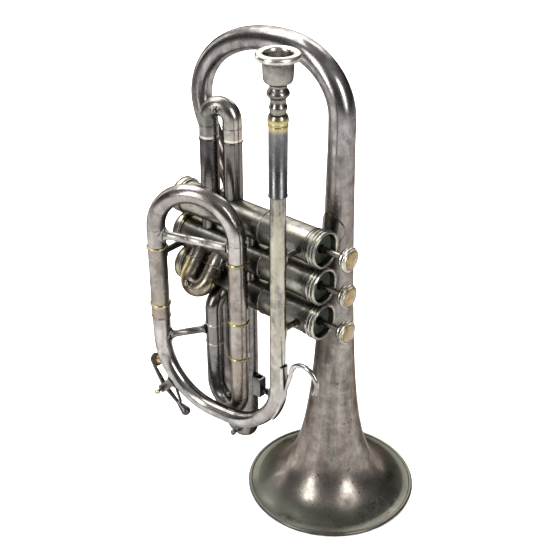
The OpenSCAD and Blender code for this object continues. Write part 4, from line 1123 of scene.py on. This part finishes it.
def saddle(centre, tube_r, toward, half_height, half_angle, thick=0.8):
    """A pointed plate bent round a tube whose axis is vertical, facing a direction."""
    yaw = math.atan2(toward[1], toward[0])
    rows, columns = 21, 17
    verts, faces = [], []
    for layer, reach in enumerate((tube_r + 0.04, tube_r + thick)):
        for i in range(rows):
            v = -1 + 2 * i / (rows - 1)
            wide = half_angle * (1 - abs(v) ** 1.5) + 0.02
            for j in range(columns):
                u = -1 + 2 * j / (columns - 1)
                edge = 1 - max(abs(u), abs(v)) ** 6 * (0.75 if layer else 0)
                r = tube_r + (reach - tube_r) * edge
                a = yaw + wide * u
                verts.append(Vector((
                    centre[0] + r * math.cos(a), centre[1] + r * math.sin(a), centre[2] + half_height * v
                )) * MM)
    skin = rows * columns
    for layer in (0, 1):
        for i in range(rows - 1):
            for j in range(columns - 1):
                a = layer * skin + i * columns + j
                faces.append([a, a + 1, a + columns + 1, a + columns])
    rim = [(0, j) for j in range(columns)] + [(i, columns - 1) for i in range(1, rows)]
    rim += [(rows - 1, j) for j in range(columns - 2, -1, -1)] + [(i, 0) for i in range(rows - 2, 0, -1)]
    for (i, j), (m, n) in zip(rim, rim[1:] + rim[:1]):
        a, b = i * columns + j, m * columns + n
        faces.append([a, b, b + skin, a + skin])
    return verts, faces


def make_main_stay():
    """The stay between the tuning slide's legs."""
    across = (RIGHT - LEFT).normalized()
    height = Vector((0, 0, MAIN_STAY_Z))
    left = LEFT + across * (CROOK_R + 0.5) + height
    right = RIGHT - across * (CROOK_R + 0.5) + height
    shape = joined(
        stay_rod(left, right, MAIN_STAY_R, (0.36, 0.66)),
        saddle(LEFT + height, CROOK_R, across, 6.0, 0.95),
        saddle(RIGHT + height, CROOK_R, -across, 6.0, 0.95),
    )
    piece = add_object("main_slide_stay_skin", shape, stay_silver, "main_slide", 50)
    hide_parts("main_slide_stay")


def make_lower_stay():
    """The stay from the left leg to the return tube."""
    back = return_middle(1.0)
    low, high = Vector((0, 0, LOWER_STAY_FOOT)), Vector((0, 0, LOWER_STAY_HEAD))
    toward = (back - LEFT).normalized()
    foot = LEFT + low + toward * (CROOK_R + 0.3)
    head = back + high - toward * (RETURN_R + 0.1)
    shape = joined(
        stay_rod(foot, head, LOWER_STAY_R, (0.5,)),
        saddle(LEFT + low, CROOK_R, toward, 5.5, 0.9),
    )
    piece = add_object("lower_stay_skin", shape, dark_silver, BODY, 50)
    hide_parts("lower_stay")


make_main_stay()
make_lower_stay()

# ---- water key's spring -------------------------------------------------------------------------


def make_key_spring():
    """The leaf spring, a smooth copy of its solid with its place baked in; it rides on no body."""
    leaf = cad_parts["water_key_spring"].data
    verts = [v.co for v in leaf.vertices]
    faces = [tuple(p.vertices) for p in leaf.polygons]
    spring = add_object("water_key_spring_skin", (verts, faces), steel_mat, None)
    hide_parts("water_key_spring")
    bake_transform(spring)


make_key_spring()

# ---- CAD nodes that keep their shape ------------------------------------------------------------

KEPT = {
    "bell_tail_ferrule": dark_silver,
    "leadpipe": lead_silver,
    "return_tube": return_silver,
    "first_slide_sleeves": smoked_silver,
    "second_slide_sleeves": crook_silver,
    "third_slide_sleeves": dark_silver,
    "knuckles": dark_silver,
    "valve_guides": worn_brass,
    "leadpipe_stays": crook_silver,
    "bell_stays": bow_silver,
    "casing_stay": dark_silver,
    "finger_hook": front_silver,
    "lyre_box": smoked_silver,
    "lyre_screw": smoked_silver,
    "water_key_saddle": dark_silver,
    "water_nipple": worn_brass,
    "water_key_screw": bright_silver,
    "water_key_lever": smoked_silver,
    "water_key_pad": cork_mat,
}
for number in VALVES:
    KEPT[f"valve_casing_{number}"] = casing_silver
    KEPT[f"piston_{number}"] = bright_silver
    KEPT[f"valve_stem_{number}"] = crook_silver


def dress_kept_nodes():
    for name, material in KEPT.items():
        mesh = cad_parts[name].data
        mesh.materials.clear()
        mesh.materials.append(material)
        for polygon in mesh.polygons:
            polygon.use_smooth = True


dress_kept_nodes()

# ---- floor, light, camera, in metres ------------------------------------------------------------

FLOOR_HALF = 14.0
SKY = (
    # share of the way up, colour
    (0.0, (0.1, 0.1, 0.105, 1)),
    (0.8, (0.9, 0.9, 0.92, 1)),
    (0.35, (0.22, 0.22, 0.23, 1)),
)
SKY_STRENGTH = 0.8
LIGHT_AIM = (-0.03, -0.03, 0.15)
LIGHTS = (
    # name, place, width, height, watts
    ("left_box", (-0.18, -1.02, 0.62), 0.3, 0.8, 12),
    ("right_box", (0.98, -0.2, 0.7), 0.35, 0.8, 14),
    ("far_left_box", (-1.15, -0.15, 0.5), 0.5, 0.8, 5),
    ("back_panel", (-0.85, 0.95, 1.25), 2.0, 1.7, 74),
    ("top_box", (-0.75, -0.15, 1.4), 0.9, 0.9, 24),
)
CAMERA_PLACE = (0.3568, -0.4729, 0.515)
CAMERA_FORWARD = (-0.568, 0.654, -0.5)
CAMERA_LENS = 68.2


def make_floor():
    half = FLOOR_HALF
    mesh = bpy.data.meshes.new("floor")
    corners = [(-half, -half, 0), (half, -half, 0), (half, half, 0), (-half, half, 0)]
    mesh.from_pydata(corners, [], [(0, 1, 2, 3)])
    floor = bpy.data.objects.new("floor", mesh)
    bpy.context.scene.collection.objects.link(floor)
    g = Graph("pale_floor")
    g.shader.inputs["Base Color"].default_value = (0.87, 0.87, 0.87, 1)
    g.shader.inputs["Roughness"].default_value = 0.7
    g.shader.inputs["Specular IOR Level"].default_value = 0.2
    mesh.materials.append(g.material)


def make_world():
    """A dim studio sky, brighter overhead, for the metal to reflect."""
    world = bpy.data.worlds.new("studio")
    bpy.context.scene.world = world
    world.use_nodes = True
    nodes, links = world.node_tree.nodes, world.node_tree.links
    coords = nodes.new("ShaderNodeTexCoord")
    split = nodes.new("ShaderNodeSeparateXYZ")
    ramp = nodes.new("ShaderNodeValToRGB")
    links.new(coords.outputs["Generated"], split.inputs[0])
    links.new(split.outputs["Z"], ramp.inputs["Fac"])
    elements = ramp.color_ramp.elements
    for index, (position, colour) in enumerate(SKY):
        stop = elements[index] if index < len(elements) else elements.new(position)
        stop.position = position
        stop.color = colour
    links.new(ramp.outputs["Color"], nodes["Background"].inputs["Color"])
    nodes["Background"].inputs["Strength"].default_value = SKY_STRENGTH


def add_light(name, place, width, height, watts):
    """A soft box turned towards the middle of the object."""
    data = bpy.data.lights.new(name, "AREA")
    data.shape = "RECTANGLE"
    data.size = width
    data.size_y = height
    data.energy = watts
    lamp = bpy.data.objects.new(name, data)
    lamp.location = place
    lamp.rotation_euler = (Vector(LIGHT_AIM) - Vector(place)).to_track_quat("-Z", "Y").to_euler()
    lamp.visible_camera = False
    bpy.context.scene.collection.objects.link(lamp)


def make_camera():
    data = bpy.data.cameras.new("camera")
    data.sensor_width = 36.0
    data.lens = CAMERA_LENS
    data.clip_end = 60.0
    camera = bpy.data.objects.new("camera", data)
    camera.location = CAMERA_PLACE
    camera.rotation_euler = Vector(CAMERA_FORWARD).to_track_quat("-Z", "Y").to_euler()
    bpy.context.scene.collection.objects.link(camera)
    bpy.context.scene.camera = camera


make_floor()
make_world()
for light in LIGHTS:
    add_light(*light)
make_camera()
bpy.context.scene.view_settings.view_transform = "Standard"
